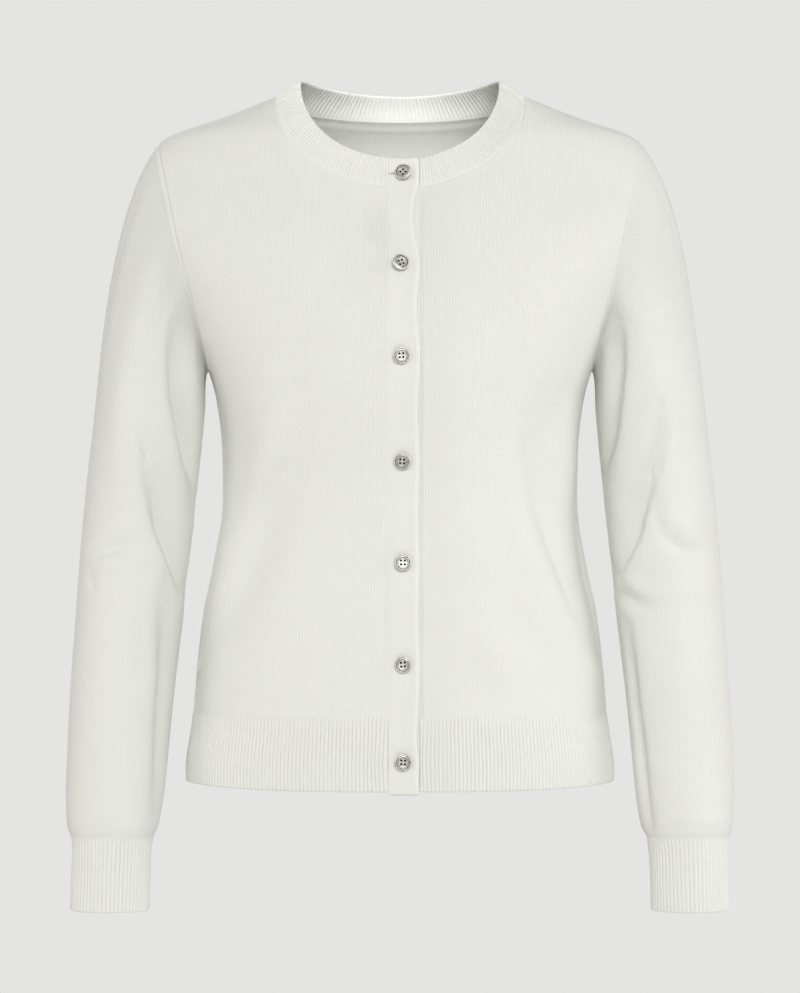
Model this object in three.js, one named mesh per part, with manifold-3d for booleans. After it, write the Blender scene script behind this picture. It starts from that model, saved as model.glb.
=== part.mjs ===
// A fine-knit, crew-neck button cardigan, filled out as if worn by nobody: a hollow shell of knitted walls.
// Millimetres, +Z up. +X is the side of the wearer's left arm, and the front faces -Y.
// The origin lies between the shoulder seams, level with their neck ends, where a wearer's shoulders hold it.
import * as THREE from "three";
import { mergeVertices } from "three/addons/utils/BufferGeometryUtils.js";
import Module from "manifold-3d";

const wasm = await Module();
wasm.setup();

// ---- Driving sizes ----
const KNIT = 1.6; // wall of the plain knit
const RIB = 2.2; // wall of the ribbed neckband, hem and cuffs
const PLACKET = 2.4; // wall of each doubled front band
const GAP = 0.3; // between pieces at a seam
const PLY_STEP = PLACKET + GAP; // how far the lower front lies under the upper one

const HEM_Z = -552;
const HEM_TOP_Z = -495;
const HEM_RISE = 3; // how much higher the hem is at the side seams than in the middle
const LAP_DROP = 2.5; // how much lower than the hem the upper front band ends
const ARMPIT_Z = -227;
const SHOULDER = { x: 190, z: -46.5 }; // outer end of the shoulder seam
const NECK = { x: 99, z: -9.5 }; // inner end of the shoulder seam
const NECK_FRONT_DROP = 75.5; // from the shoulder seam's inner end down to the neckband's seam
const NECK_BACK_DROP = 14.5;
// The neckband's free edge: how far it drops before and behind the shoulders, and how fast it starts to.
const COLLAR = { x: 78, z: 6, front: -59, frontDrop: 68, frontCurve: 0.9, back: 55, backDrop: 10, backCurve: 1.8 };
const CUFF_TOP_Z = -590;
const CUFF_Z = -647;
const BAND = { inner: -9, outer: 15 }; // the front bands' two edges, as x
const BAND_BULGE = 1.2; // how far the neckband's middle stands out of a straight line

const BUTTON_LIFT = 0.9; // from the front band to a button's back
const BUTTON_SIDES = 20;
const HOLE = { radius: 0.85, spacing: 2.9 };

const ROWS = { low: 10, high: 10 }; // steps of a panel below and above the armpit
const COLUMNS = { inside: 7, outside: 5 }; // steps across half a panel, before and after the shoulder seam
const BAND_ROWS = { body: 24, neck: 3 };

// ---- Section tables ----
// A button's section, from the middle of its back, round the rim, to the middle of its face.
const BUTTON_PROFILE = [
  { radius: 0, height: 0 },
  { radius: 5.7, height: 0.25 },
  { radius: 6.5, height: 1 },
  { radius: 6.5, height: 1.6 },
  { radius: 5.9, height: 2.1 },
  { radius: 5.1, height: 1.85 },
  { radius: 4.6, height: 1.3 },
  { radius: 4.1, height: 1.6 },
  { radius: 3.2, height: 1.15 },
  { radius: 0, height: 1.15 },
];

// Where each button is, and how it leans, in degrees: `tilt` to the side, `nod` up or down, `spin` about its axis.
// A leaning button is lifted clear of the band.
const BUTTONS = [
  { x: 2.5, z: -75.5, tilt: -13, nod: 6, spin: 40, lift: 1.1 },
  { x: 0.5, z: -146.3, tilt: 15, nod: -4, spin: 26, lift: 1.2 },
  { x: 1, z: -217.2, tilt: 5, nod: 3, spin: 4, lift: 0.2 },
  { x: 1.7, z: -297.8, tilt: -4, nod: 2, spin: -3, lift: 0.1 },
  { x: 2.2, z: -375.8, tilt: 3, nod: -3, spin: 2, lift: 0.1 },
  { x: 2.3, z: -454, tilt: -3, nod: 2, spin: 6, lift: 0 },
  { x: 2.3, z: -528.8, tilt: 4, nod: 4, spin: -4, lift: 0.2 },
];

// The body's horizontal sections: half its width, its depth before and behind the side seams, and how square
// each is.
const BODY = [
  { z: -560, halfWidth: 168, front: 103, back: 98, frontFull: 2.3, backFull: 2.4 },
  { z: -540, halfWidth: 169, front: 103, back: 97, frontFull: 2.3, backFull: 2.4 },
  { z: -500, halfWidth: 163.5, front: 101, back: 93, frontFull: 2.35, backFull: 2.5 },
  { z: -450, halfWidth: 159.5, front: 99, back: 84, frontFull: 2.4, backFull: 2.6 },
  { z: -415, halfWidth: 155, front: 98, back: 75, frontFull: 2.4, backFull: 2.6 },
  { z: -378, halfWidth: 147, front: 97, back: 67, frontFull: 2.4, backFull: 2.6 },
  { z: -328, halfWidth: 140, front: 98, back: 65, frontFull: 2.4, backFull: 2.7 },
  { z: -290, halfWidth: 140.5, front: 103, back: 74, frontFull: 2.4, backFull: 2.8 },
  { z: -250, halfWidth: 145, front: 109, back: 86, frontFull: 2.4, backFull: 2.9 },
  { z: -227, halfWidth: 151, front: 111, back: 91, frontFull: 2.45, backFull: 3 },
  { z: -205, halfWidth: 160, front: 110.5, back: 93, frontFull: 2.5, backFull: 3 },
  { z: -180, halfWidth: 171, front: 107, back: 94, frontFull: 2.55, backFull: 3 },
  { z: -150, halfWidth: 186, front: 99, back: 93, frontFull: 2.6, backFull: 3 },
  { z: -120, halfWidth: 199, front: 88, back: 90, frontFull: 2.6, backFull: 2.9 },
  { z: -95, halfWidth: 206, front: 76, back: 86, frontFull: 2.5, backFull: 2.7 },
  { z: -75, halfWidth: 206, front: 66, back: 80, frontFull: 2.4, backFull: 2.5 },
  { z: -58, halfWidth: 200, front: 59, back: 75, frontFull: 2.3, backFull: 2.3 },
  { z: -46.5, halfWidth: 190, front: 55, back: 71, frontFull: 2.2, backFull: 2.2 },
  { z: -40, halfWidth: 180.5, front: 52, back: 68, frontFull: 2.2, backFull: 2.2 },
  { z: -26.5, halfWidth: 141.5, front: 44, back: 60, frontFull: 2.2, backFull: 2.2 },
  { z: -9.5, halfWidth: 99, front: 34, back: 50, frontFull: 2.2, backFull: 2.2 },
  { z: 10, halfWidth: 54, front: 24, back: 40, frontFull: 2.2, backFull: 2.2 },
];

// The armhole's edge on the body, as x on the front and on the back.
const ARMHOLE = [
  { z: -227, front: 151, back: 151 },
  { z: -220, front: 152.1, back: 152.3 },
  { z: -205, front: 155, back: 156 },
  { z: -180, front: 160, back: 162 },
  { z: -150, front: 167.5, back: 171 },
  { z: -120, front: 175, back: 180 },
  { z: -95, front: 180.5, back: 185 },
  { z: -75, front: 185, back: 188 },
  { z: -58, front: 188.5, back: 190 },
  { z: -46.5, front: 190, back: 190 },
];

// The sleeve below the armhole, and the cuff: the middle of each section, and half its width and depth.
const SLEEVE = [
  { z: -257, x: 198, y: 5, halfWidth: 43.5, halfDepth: 53 },
  { z: -300, x: 202.6, y: 7, halfWidth: 44, halfDepth: 51 },
  { z: -341, x: 206.8, y: 8, halfWidth: 44, halfDepth: 50 },
  { z: -375, x: 210, y: 6, halfWidth: 43.6, halfDepth: 49 },
  { z: -432, x: 214.6, y: -3, halfWidth: 42.3, halfDepth: 46 },
  { z: -490, x: 219, y: -15, halfWidth: 40.8, halfDepth: 43 },
  { z: -551, x: 222.8, y: -29, halfWidth: 39, halfDepth: 39 },
  { z: -570, x: 223.8, y: -33, halfWidth: 37.4, halfDepth: 36.5 },
  { z: -583, x: 224.5, y: -36, halfWidth: 35.6, halfDepth: 33.6 },
  { z: -593, x: 224.8, y: -38, halfWidth: 31.4, halfDepth: 29.5 },
  { z: -606, x: 225.2, y: -41, halfWidth: 30.6, halfDepth: 28 },
  { z: -647, x: 226, y: -49, halfWidth: 30.2, halfDepth: 27 },
];

// The largest folds: each runs through three points. A trough is so deep; a ridge's depth is below zero.
// On the body the points are x, z. On a sleeve they are degrees round from its outside, by the front, and z.
const FOLDS = [
  { on: "front", a: [-95, -302], b: [-118, -372], c: [-156, -460], depth: 4, width: 26 },
  { on: "front", a: [102, -296], b: [117, -370], c: [155, -444], depth: 4, width: 25 },
  { on: "front", a: [90, -449], b: [108, -462], c: [127, -475], depth: 1.8, width: 16 },
  { on: "front", a: [-142, -232], b: [-128, -262], c: [-112, -285], depth: 2, width: 16 },
  { on: "front", a: [143, -230], b: [127, -258], c: [113, -284], depth: 2.2, width: 16 },
  { on: "back", a: [-134, -330], b: [-80, -352], c: [-15, -350], depth: 3, width: 15 },
  { on: "back", a: [133, -318], b: [86, -337], c: [22, -333], depth: 2.6, width: 14 },
  { on: "back", a: [-136, -368], b: [-96, -390], c: [-40, -397], depth: 2.2, width: 16 },
  { on: "back", a: [140, -362], b: [104, -382], c: [58, -388], depth: 2.4, width: 15 },
  { on: "sleeve_right", a: [117, -247], b: [140, -268], c: [162, -287], depth: 3.2, width: 9 },
  { on: "sleeve_right", a: [85, -309], b: [104, -345], c: [154, -391], depth: 4.5, width: 12 },
  { on: "sleeve_right", a: [8, -360], b: [55, -366], c: [88, -368], depth: 3.2, width: 9 },
  { on: "sleeve_right", a: [112, -397], b: [134, -468], c: [160, -512], depth: 3.5, width: 13 },
  { on: "sleeve_right", a: [200, -330], b: [262, -352], c: [318, -340], depth: 3.6, width: 12 },
  { on: "sleeve_right", a: [210, -392], b: [272, -385], c: [330, -400], depth: 2.6, width: 11 },
  { on: "sleeve_left", a: [113, -233], b: [130, -256], c: [147, -280], depth: 3.6, width: 9 },
  { on: "sleeve_left", a: [86, -293], b: [103, -334], c: [150, -382], depth: 4.5, width: 12 },
  { on: "sleeve_left", a: [18, -378], b: [56, -370], c: [84, -364], depth: 3, width: 9 },
  { on: "sleeve_left", a: [120, -404], b: [128, -460], c: [138, -512], depth: 3.3, width: 13 },
  { on: "sleeve_left", a: [205, -345], b: [258, -338], c: [322, -352], depth: 3.4, width: 12 },
  { on: "sleeve_left", a: [206, -402], b: [266, -394], c: [324, -380], depth: 2.8, width: 11 },
];

// ---- Small tools ----
const lerp = THREE.MathUtils.lerp;
const clamp = THREE.MathUtils.clamp;
const vec = (x, y, z) => new THREE.Vector3(x, y, z);
const mix = (a, b, t) => a.clone().lerp(b, t);
const range = (n) => Array.from({ length: n }, (_, i) => i);

// A smooth curve through one column of a table, with no overshoot between rows (monotone cubic).
function column(rows, name, key = "z") {
  const sorted = [...rows].sort((a, b) => a[key] - b[key]);
  const at = sorted.map((r) => r[key]);
  const value = sorted.map((r) => r[name]);
  const rise = range(at.length - 1).map((i) => (value[i + 1] - value[i]) / (at[i + 1] - at[i]));
  const slope = at.map((_, i) => {
    if (i === 0) return rise[0];
    if (i === at.length - 1) return rise[i - 1];
    const [a, b] = [rise[i - 1], rise[i]];
    return a * b <= 0 ? 0 : (2 * a * b) / (a + b);
  });
  return (t) => {
    const c = clamp(t, at[0], at.at(-1));
    const i = Math.min(at.findLastIndex((v) => v <= c), at.length - 2);
    const h = at[i + 1] - at[i];
    const s = (c - at[i]) / h;
    const hermite = [(1 + 2 * s) * (1 - s) ** 2, s * (1 - s) ** 2, s * s * (3 - 2 * s), s * s * (s - 1)];
    return (
      hermite[0] * value[i] +
      hermite[1] * h * slope[i] +
      hermite[2] * value[i + 1] +
      hermite[3] * h * slope[i + 1]
    );
  };
}

// Where a path should be sampled for `count` steps of equal length. `path` takes 0 to 1.
function evenSteps(path, count, samples = 120) {
  const fine = range(samples + 1).map((i) => path(i / samples));
  const along = [0];
  for (let i = 1; i <= samples; i++) along.push(along[i - 1] + fine[i].distanceTo(fine[i - 1]));
  return range(count + 1).map((k) => {
    if (k === count) return 1;
    const want = (along[samples] * k) / count;
    const i = Math.max(along.findIndex((a) => a >= want), 1);
    return (i - 1 + (want - along[i - 1]) / (along[i] - along[i - 1])) / samples;
  });
}

// The way off a seam at its point i, square to it and to the cloth's normal, on the side of `toward`.
function offSeam(seam, i, normal, toward, closed) {
  const n = seam.length;
  const before = closed ? seam[(i + n - 1) % n] : seam[Math.max(i - 1, 0)];
  const after = closed ? seam[(i + 1) % n] : seam[Math.min(i + 1, n - 1)];
  const way = after.clone().sub(before).cross(normal).normalize();
  return way.dot(toward.clone().sub(seam[i])) < 0 ? way.negate() : way;
}

// Each point's normal on a grid, away from `middle`, the point that each row's inside faces.
function gridNormals(grid, closed, middle) {
  const last = grid.length - 1;
  return grid.map((row, r) =>
    row.map((p, c) => {
      const n = row.length;
      const before = closed ? row[(c + n - 1) % n] : row[Math.max(c - 1, 0)];
      const after = closed ? row[(c + 1) % n] : row[Math.min(c + 1, n - 1)];
      const up = grid[Math.min(r + 1, last)][c].clone().sub(grid[Math.max(r - 1, 0)][c]);
      const normal = after.clone().sub(before).cross(up).normalize();
      return normal.dot(p.clone().sub(middle(r))) < 0 ? normal.negate() : normal;
    }),
  );
}

// A closed wall between a grid of outer points and one of inner points. A closed grid is a tube.
function wall(outer, inner, closed = false) {
  const [rows, cols] = [outer.length, outer[0].length];
  const points = [...outer.flat(), ...inner.flat()];
  const id = (side, r, c) => side * rows * cols + r * cols + (c % cols);
  const index = [];
  const quad = (a, b, c, d) => index.push(a, b, c, a, c, d);
  const steps = closed ? cols : cols - 1;
  for (let r = 0; r < rows - 1; r++)
    for (let c = 0; c < steps; c++) {
      quad(id(0, r, c), id(0, r, c + 1), id(0, r + 1, c + 1), id(0, r + 1, c));
      quad(id(1, r, c), id(1, r + 1, c), id(1, r + 1, c + 1), id(1, r, c + 1));
    }
  for (let c = 0; c < steps; c++) {
    quad(id(0, 0, c), id(1, 0, c), id(1, 0, c + 1), id(0, 0, c + 1));
    quad(id(0, rows - 1, c), id(0, rows - 1, c + 1), id(1, rows - 1, c + 1), id(1, rows - 1, c));
  }
  if (!closed)
    for (let r = 0; r < rows - 1; r++) {
      quad(id(0, r, 0), id(0, r + 1, 0), id(1, r + 1, 0), id(1, r, 0));
      quad(id(0, r, cols - 1), id(1, r, cols - 1), id(1, r + 1, cols - 1), id(0, r + 1, cols - 1));
    }
  return facingOut(points, index);
}

// A geometry of those points and triangles, with its faces turned to point out.
function facingOut(points, index) {
  let volume = 0;
  for (let i = 0; i < index.length; i += 3) {
    const [a, b, c] = [points[index[i]], points[index[i + 1]], points[index[i + 2]]];
    volume += a.dot(b.clone().cross(c));
  }
  const geometry = new THREE.BufferGeometry().setFromPoints(points);
  geometry.setIndex(volume < 0 ? [...index].reverse() : index);
  geometry.computeVertexNormals();
  return geometry;
}

// How deep the folds of that piece are at a point of its own sheet. A turn of a sleeve is `perDegree` long.
function foldDepth(piece, u, v, perDegree = 1) {
  let total = 0;
  for (const fold of FOLDS.filter((f) => f.on === piece)) {
    const [a, b, c] = [fold.a, fold.b, fold.c].map(([p, q]) => new THREE.Vector2(p * perDegree, q));
    const here = new THREE.Vector2(u * perDegree, v);
    const whole = a.distanceTo(b) + b.distanceTo(c);
    const along = [nearest(here, a, b), nearest(here, b, c)];
    const best = along[0].away <= along[1].away ? along[0] : along[1];
    const run = best === along[0] ? best.run : best.run + a.distanceTo(b);
    const taper = 0.35 + 0.65 * Math.sin((Math.PI * run) / whole);
    total += fold.depth * taper * Math.exp(-((best.away / fold.width) ** 2));
  }
  return total;
}

// The nearest point of a line from a to b: how far off, and how far along it.
function nearest(p, a, b) {
  const line = b.clone().sub(a);
  const share = clamp(p.clone().sub(a).dot(line) / line.lengthSq(), 0, 1);
  return { away: p.distanceTo(a.clone().addScaledVector(line, share)), run: share * line.length() };
}

// ---- The body's surface ----
const body = Object.fromEntries(
  ["halfWidth", "front", "back", "frontFull", "backFull"].map((name) => [name, column(BODY, name)]),
);
const armholeX = { front: column(ARMHOLE, "front"), back: column(ARMHOLE, "back") };
const sign = { front: -1, back: 1 };

// How far behind (or before) the side seams the body's surface lies at x, z, half a seam's gap kept.
function bodyPoint(face, x, z, inset = 0) {
  const full = body[face + "Full"](z);
  const share = Math.min(Math.abs(x) / body.halfWidth(z), 1);
  const depth = body[face](z) * (1 - share ** full) ** (1 / full);
  const p = vec(x, sign[face] * Math.max(depth, GAP / 2), z);
  return inset ? p.addScaledVector(bodyNormal(face, p), -inset) : p;
}

// The outward normal of the body's surface at a point on it.
function bodyNormal(face, p) {
  const level = (x, y, z) =>
    (Math.abs(x) / body.halfWidth(z)) ** body[face + "Full"](z) +
    (Math.abs(y) / body[face](z)) ** body[face + "Full"](z);
  const e = 0.01;
  return vec(
    level(p.x + e, p.y, p.z) - level(p.x - e, p.y, p.z),
    level(p.x, p.y + e, p.z) - level(p.x, p.y - e, p.z),
    level(p.x, p.y, p.z + e) - level(p.x, p.y, p.z - e),
  ).normalize();
}

// The height of a panel's top edge at x: the neckline, then the shoulder seam.
function topEdgeZ(face, x) {
  const away = Math.abs(x);
  if (away >= NECK.x) return lerp(NECK.z, SHOULDER.z, (away - NECK.x) / (SHOULDER.x - NECK.x));
  const drop = face === "front" ? NECK_FRONT_DROP : NECK_BACK_DROP;
  return NECK.z - drop * Math.sqrt(1 - (away / NECK.x) ** 2);
}

// Above the armpit the shoulder seam follows the body's own ridge.
function ridgeZ(x) {
  let [low, high] = [SHOULDER.z, NECK.z];
  for (let i = 0; i < 40; i++) {
    const middle = (low + high) / 2;
    if (body.halfWidth(middle) > x) low = middle;
    else high = middle;
  }
  return (low + high) / 2;
}

// A point of a panel's row, `share` of the way from x = `start` to the side or armhole.
// A row is level at `z`; above the armpit it's `up` of the way to the neckline and shoulder instead.
function rowPoint(face, start, { z, up }, share, insetAt) {
  const edgeZ = z ?? lerp(ARMPIT_Z, SHOULDER.z, up);
  const x = lerp(start, z === undefined ? armholeX[face](edgeZ) : body.halfWidth(z), share);
  if (z !== undefined) return bodyPoint(face, x, z, insetAt(x));
  const topX = lerp(start, SHOULDER.x, share);
  const top = topX >= NECK.x ? ridgeZ(topX) : topEdgeZ(face, topX);
  return bodyPoint(face, x, lerp(ARMPIT_Z, top, up), insetAt(x));
}

// The shares at which a row's columns lie evenly, from `from` to `to`. They crowd where the row turns the side.
function evenShares(face, start, level, from, to, count) {
  const turn = (share) => (Math.asin(share) * 2) / Math.PI;
  const shareAt = (t) => Math.sin((lerp(turn(from), turn(to), t) * Math.PI) / 2);
  return evenSteps((t) => rowPoint(face, start, level, shareAt(t), () => 0), count).map(shareAt);
}

// The heights of a panel's rows above the armpit, 0 to 1, evenly spaced along its armhole.
function armholeUps(face) {
  const height = (t) => lerp(ARMPIT_Z, SHOULDER.z, (1 - Math.cos(Math.PI * t)) / 2);
  const steps = evenSteps((t) => bodyPoint(face, armholeX[face](height(t)), height(t)), ROWS.high);
  return steps.map((t) => (height(t) - ARMPIT_Z) / (SHOULDER.z - ARMPIT_Z));
}

// A half panel's grid of outer points, from its centre edge to its side, and up to its neckline and shoulder.
// Its columns swing round from an even spacing at the armpit to an even spacing along the neckline.
function panelGrid(face, start, insetAt = () => 0) {
  const corner = (NECK.x - start) / (SHOULDER.x - start);
  const sharesOf = (level) => [
    ...evenShares(face, start, level, 0, corner, COLUMNS.inside),
    ...evenShares(face, start, level, corner, 1, COLUMNS.outside).slice(1),
  ];
  const levels = [
    ...range(ROWS.low).map((i) => ({ z: lerp(HEM_TOP_Z + GAP / 2, ARMPIT_Z, i / ROWS.low) })),
    ...armholeUps(face).map((up) => ({ up })),
  ];
  const top = sharesOf(levels.at(-1));
  return levels.map((level) =>
    sharesOf(level).map((share, c) =>
      rowPoint(face, start, level, lerp(share, top[c], level.up ?? 0), insetAt),
    ),
  );
}

// Folds fade out at a panel's edges, so that its seams still meet.
function folded(face, grid, flip) {
  const last = [grid.length - 1, grid[0].length - 1];
  return grid.map((row, r) =>
    row.map((p, c) => {
      if (r === 0 || r === last[0] || c === last[1]) return p;
      const depth = foldDepth(face, flip ? -p.x : p.x, p.z);
      return p.clone().addScaledVector(bodyNormal(face, p), -depth);
    }),
  );
}

const mirrored = (grid) => grid.map((row) => row.map((p) => vec(-p.x, p.y, p.z)));
const bodyInner = (face, grid, thick) =>
  grid.map((row) => row.map((p) => p.clone().addScaledVector(bodyNormal(face, p), -thick)));

// ---- Pieces ----
const under = (x) => PLY_STEP * (1 - THREE.MathUtils.smoothstep(x, BAND.outer, BAND.outer + 34));
const START = { right: -BAND.inner + GAP, left: BAND.outer + GAP };
const halves = {
  front_right: panelGrid("front", START.right),
  front_left: panelGrid("front", START.left, under),
  back: panelGrid("back", 0),
};

function frontPanel(side) {
  const right = side === "right";
  const grid = folded("front", halves["front_" + side], right);
  const inner = bodyInner("front", grid, KNIT);
  return right ? wall(mirrored(grid), mirrored(inner)) : wall(grid, inner);
}

function backPanel() {
  const left = folded("back", halves.back);
  const right = mirrored(folded("back", halves.back, true));
  const whole = left.map((row, r) => [...right[r].slice(1).reverse(), ...row]);
  return wall(whole, bodyInner("back", whole, KNIT));
}

// The ribbed hem, in the body's own surface.
function hemBand(face, side) {
  const start = face === "back" ? 0 : START[side];
  const insetAt = face === "front" && side === "left" ? under : () => 0;
  const levels = range(3).map((i) => ({ z: lerp(HEM_Z, HEM_TOP_Z - GAP / 2, i / 2) }));
  const columns = COLUMNS.inside + COLUMNS.outside;
  const half = levels.map((level) =>
    evenShares(face, start, level, 0, 1, columns).map((share) => {
      const rise = HEM_RISE * share ** 3 * ((HEM_TOP_Z - level.z) / (HEM_TOP_Z - HEM_Z));
      return rowPoint(face, start, { z: level.z + rise }, share, insetAt);
    }),
  );
  const flipped = mirrored(half);
  const grid =
    face === "back"
      ? half.map((row, r) => [...flipped[r].slice(1).reverse(), ...row])
      : side === "right"
        ? flipped
        : half;
  return wall(grid, bodyInner(face, grid, RIB));
}

// The neckband's free edge at x, before or behind the shoulders.
function collarPoint(face, x) {
  const c = Math.sqrt(Math.max(1 - (x / COLLAR.x) ** 2, 0));
  return vec(x, COLLAR[face] * c, COLLAR.z - COLLAR[face + "Drop"] * c ** COLLAR[face + "Curve"]);
}

// A point of the neckband between its seam, at 0, and its free edge, at 1.
function bandPoint(seam, edge, up, outward) {
  return mix(seam, edge, up).addScaledVector(outward, BAND_BULGE * Math.sin(Math.PI * up));
}

// The neckband's columns over one neckline, from its centre edge to the shoulder: seam, free edge and normal.
function bandColumns(face, grid, start, insetAt = () => 0) {
  return grid
    .at(-1)
    .slice(0, COLUMNS.inside + 1)
    .map((p, i) => {
      const x = start + ((COLLAR.x - start) * (p.x - start)) / (NECK.x - start);
      const shoulder = i === COLUMNS.inside;
      const outward = bodyNormal(face, p);
      const edge = collarPoint(face, x).addScaledVector(outward, -insetAt(p.x));
      if (!shoulder) return { seam: p, edge, outward };
      return { seam: vec(p.x, 0, p.z), edge, outward: outward.setY(0).normalize() };
    });
}

const flipX = ({ seam, edge, outward }) =>
  Object.fromEntries(Object.entries({ seam, edge, outward }).map(([k, p]) => [k, vec(-p.x, p.y, p.z)]));

function neckband() {
  const left = bandColumns("front", halves.front_left, START.left, under);
  const right = bandColumns("front", halves.front_right, START.right).map(flipX);
  const back = bandColumns("back", halves.back, 0);
  const round = [
    ...left,
    ...back.slice(0, -1).reverse(),
    ...back.slice(1, -1).map(flipX),
    ...right.reverse(),
  ];
  const rows = 3;
  const starts = round.map(({ seam, edge, outward }, i) =>
    seam.clone().addScaledVector(offSeam(round.map((c) => c.seam), i, outward, edge, false), GAP),
  );
  const grid = range(rows + 1).map((r) =>
    round.map(({ edge, outward }, c) => bandPoint(starts[c], edge, r / rows, outward)),
  );
  const normals = gridNormals(grid, false, () => vec(0, 0, -160));
  const inner = grid.map((row, r) =>
    row.map((p, c) => p.clone().addScaledVector(r === 0 ? round[c].outward : normals[r][c], -RIB)),
  );
  return wall(grid, inner);
}

// A front band, from the hem to the neckband's free edge: its rows of points, and their normals.
function frontBandRows(bottomZ) {
  const across = range(4).map((i) => lerp(BAND.inner, BAND.outer, i / 3));
  const seamOf = (x) => bodyPoint("front", x, topEdgeZ("front", x));
  const rows = [
    ...range(BAND_ROWS.body + 1).map((i) =>
      across.map((x) => bodyPoint("front", x, lerp(bottomZ, topEdgeZ("front", x), i / BAND_ROWS.body))),
    ),
    ...range(BAND_ROWS.neck).map((i) =>
      across.map((x) => {
        const seam = seamOf(x);
        return bandPoint(seam, collarPoint("front", x), (i + 1) / BAND_ROWS.neck, bodyNormal("front", seam));
      }),
    ),
  ];
  return { rows, normals: gridNormals(rows, false, (r) => vec(0, 0, rows[r][1].z - 40)) };
}

// The lower band lies `drop` under the upper one.
function frontBand(drop, bottomZ) {
  const { rows, normals } = frontBandRows(bottomZ);
  const moved = (by) =>
    rows.map((row, r) => row.map((p, c) => p.clone().addScaledVector(normals[r][c], -by)));
  return wall(moved(drop), moved(drop + PLACKET));
}

// ---- Buttons ----
// One button: a dished disc with a raised rim and a groove round its middle, and four holes.
function buttonSolid() {
  const profile = BUTTON_PROFILE.map(({ radius, height }) => new THREE.Vector2(radius, height));
  const disc = asManifold(mergeVertices(new THREE.LatheGeometry(profile, BUTTON_SIDES).rotateX(Math.PI / 2)));
  const holes = [-1, 1].flatMap((x) =>
    [-1, 1].map((y) =>
      wasm.Manifold.cylinder(8, HOLE.radius, HOLE.radius, 8).translate([
        (x * HOLE.spacing) / 2,
        (y * HOLE.spacing) / 2,
        -4,
      ]),
    ),
  );
  return asGeometry(holes.reduce((solid, hole) => solid.subtract(hole), disc));
}

function asManifold(geometry) {
  const bare = new THREE.BufferGeometry().setAttribute("position", geometry.attributes.position);
  bare.setIndex(geometry.index);
  const merged = mergeVertices(bare, 1e-4);
  const solid = new wasm.Manifold(
    new wasm.Mesh({
      numProp: 3,
      vertProperties: new Float32Array(merged.attributes.position.array),
      triVerts: new Uint32Array(merged.index.array),
    }),
  );
  return solid;
}

function asGeometry(solid) {
  const mesh = solid.getMesh();
  const geometry = new THREE.BufferGeometry();
  geometry.setAttribute("position", new THREE.BufferAttribute(new Float32Array(mesh.vertProperties), 3));
  geometry.setIndex(new THREE.BufferAttribute(new Uint32Array(mesh.triVerts), 1));
  geometry.computeVertexNormals();
  return geometry;
}

// ---- Sleeves ----
const sleeve = Object.fromEntries(
  ["x", "y", "halfWidth", "halfDepth"].map((name) => [name, column(SLEEVE, name)]),
);
const AROUND = 2 * ROWS.high;
const SLEEVE_TOP_Z = SLEEVE[0].z;

// A point on the sleeve's level section. `turn` is 0 on the outside of the arm and a quarter turn at the front.
function sleevePoint(turn, z) {
  return vec(
    sleeve.x(z) + sleeve.halfWidth(z) * Math.cos(turn),
    sleeve.y(z) - sleeve.halfDepth(z) * Math.sin(turn),
    z,
  );
}

// The armhole's edge, from the shoulder down the front to the armpit and up the back, with the body's normals.
function armholeLoop() {
  const edge = (grid) => grid.slice(ROWS.low).map((row) => row.at(-1)).reverse();
  const [front, back] = [edge(halves.front_left), edge(halves.back)];
  const ends = [0, ROWS.high];
  const points = [
    ...front.map((p, i) => (ends.includes(i) ? vec(p.x, 0, p.z) : p)),
    ...back.slice(1, -1).reverse(),
  ];
  const normals = points.map((p) => {
    const normal = bodyNormal(p.y <= 0 ? "front" : "back", p);
    return p.y === 0 ? normal.setY(0).normalize() : normal;
  });
  return { points, normals };
}

const CAP = [
  { turn: 0, follow: 0.2, start: 163, end: 190 },
  { turn: 0.25, follow: 0.7, start: 75, end: 150 },
  { turn: 0.5, follow: 0, start: 14, end: 26 },
  { turn: 0.75, follow: 0.7, start: 75, end: 150 },
  { turn: 1, follow: 0.2, start: 163, end: 190 },
];

function sleeveGrid() {
  const loop = armholeLoop();
  const cap = Object.fromEntries(["follow", "start", "end"].map((name) => [name, column(CAP, name, "turn")]));
  const capRings = 7;
  const lowRings = 10;
  const ringOf = (z) => range(AROUND).map((i) => sleevePoint((2 * Math.PI * i) / AROUND, z));
  const target = ringOf(SLEEVE_TOP_Z);
  const below = ringOf(SLEEVE_TOP_Z - 10);
  const n = AROUND;
  const hole = loop.points.reduce((sum, p) => sum.add(p), vec(0, 0, 0)).divideScalar(n);
  const off = loop.points.map((_, i) => offSeam(loop.points, i, loop.normals[i], hole, true));
  const starts = loop.points.map((p, i) => {
    const out = off[i].x < 0 ? off[i].clone().negate() : off[i];
    const toward = target[i].clone().sub(p).normalize();
    const share = i / n;
    if (Math.abs(share - 0.5) < 0.02) return vec(0.9, 0, 0.45);
    return mix(out, toward, cap.follow(share)).normalize();
  });
  const grid = [];
  for (let r = 0; r <= capRings; r++) {
    const t = r / capRings;
    const h = [(1 + 2 * t) * (1 - t) ** 2, t * (1 - t) ** 2, t * t * (3 - 2 * t), t * t * (t - 1)];
    grid.push(
      loop.points.map((p, i) => {
        const down = below[i].clone().sub(target[i]).normalize();
        return p
          .clone()
          .multiplyScalar(h[0])
          .addScaledVector(starts[i], h[1] * cap.start(i / n))
          .addScaledVector(target[i], h[2])
          .addScaledVector(down, h[3] * cap.end(i / n))
          .addScaledVector(off[i], r === 0 ? GAP : 0);
      }),
    );
  }
  for (let r = 1; r <= lowRings; r++)
    grid.push(ringOf(lerp(SLEEVE_TOP_Z, CUFF_TOP_Z + GAP / 2, r / lowRings)));
  return { grid, loop };
}

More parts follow.
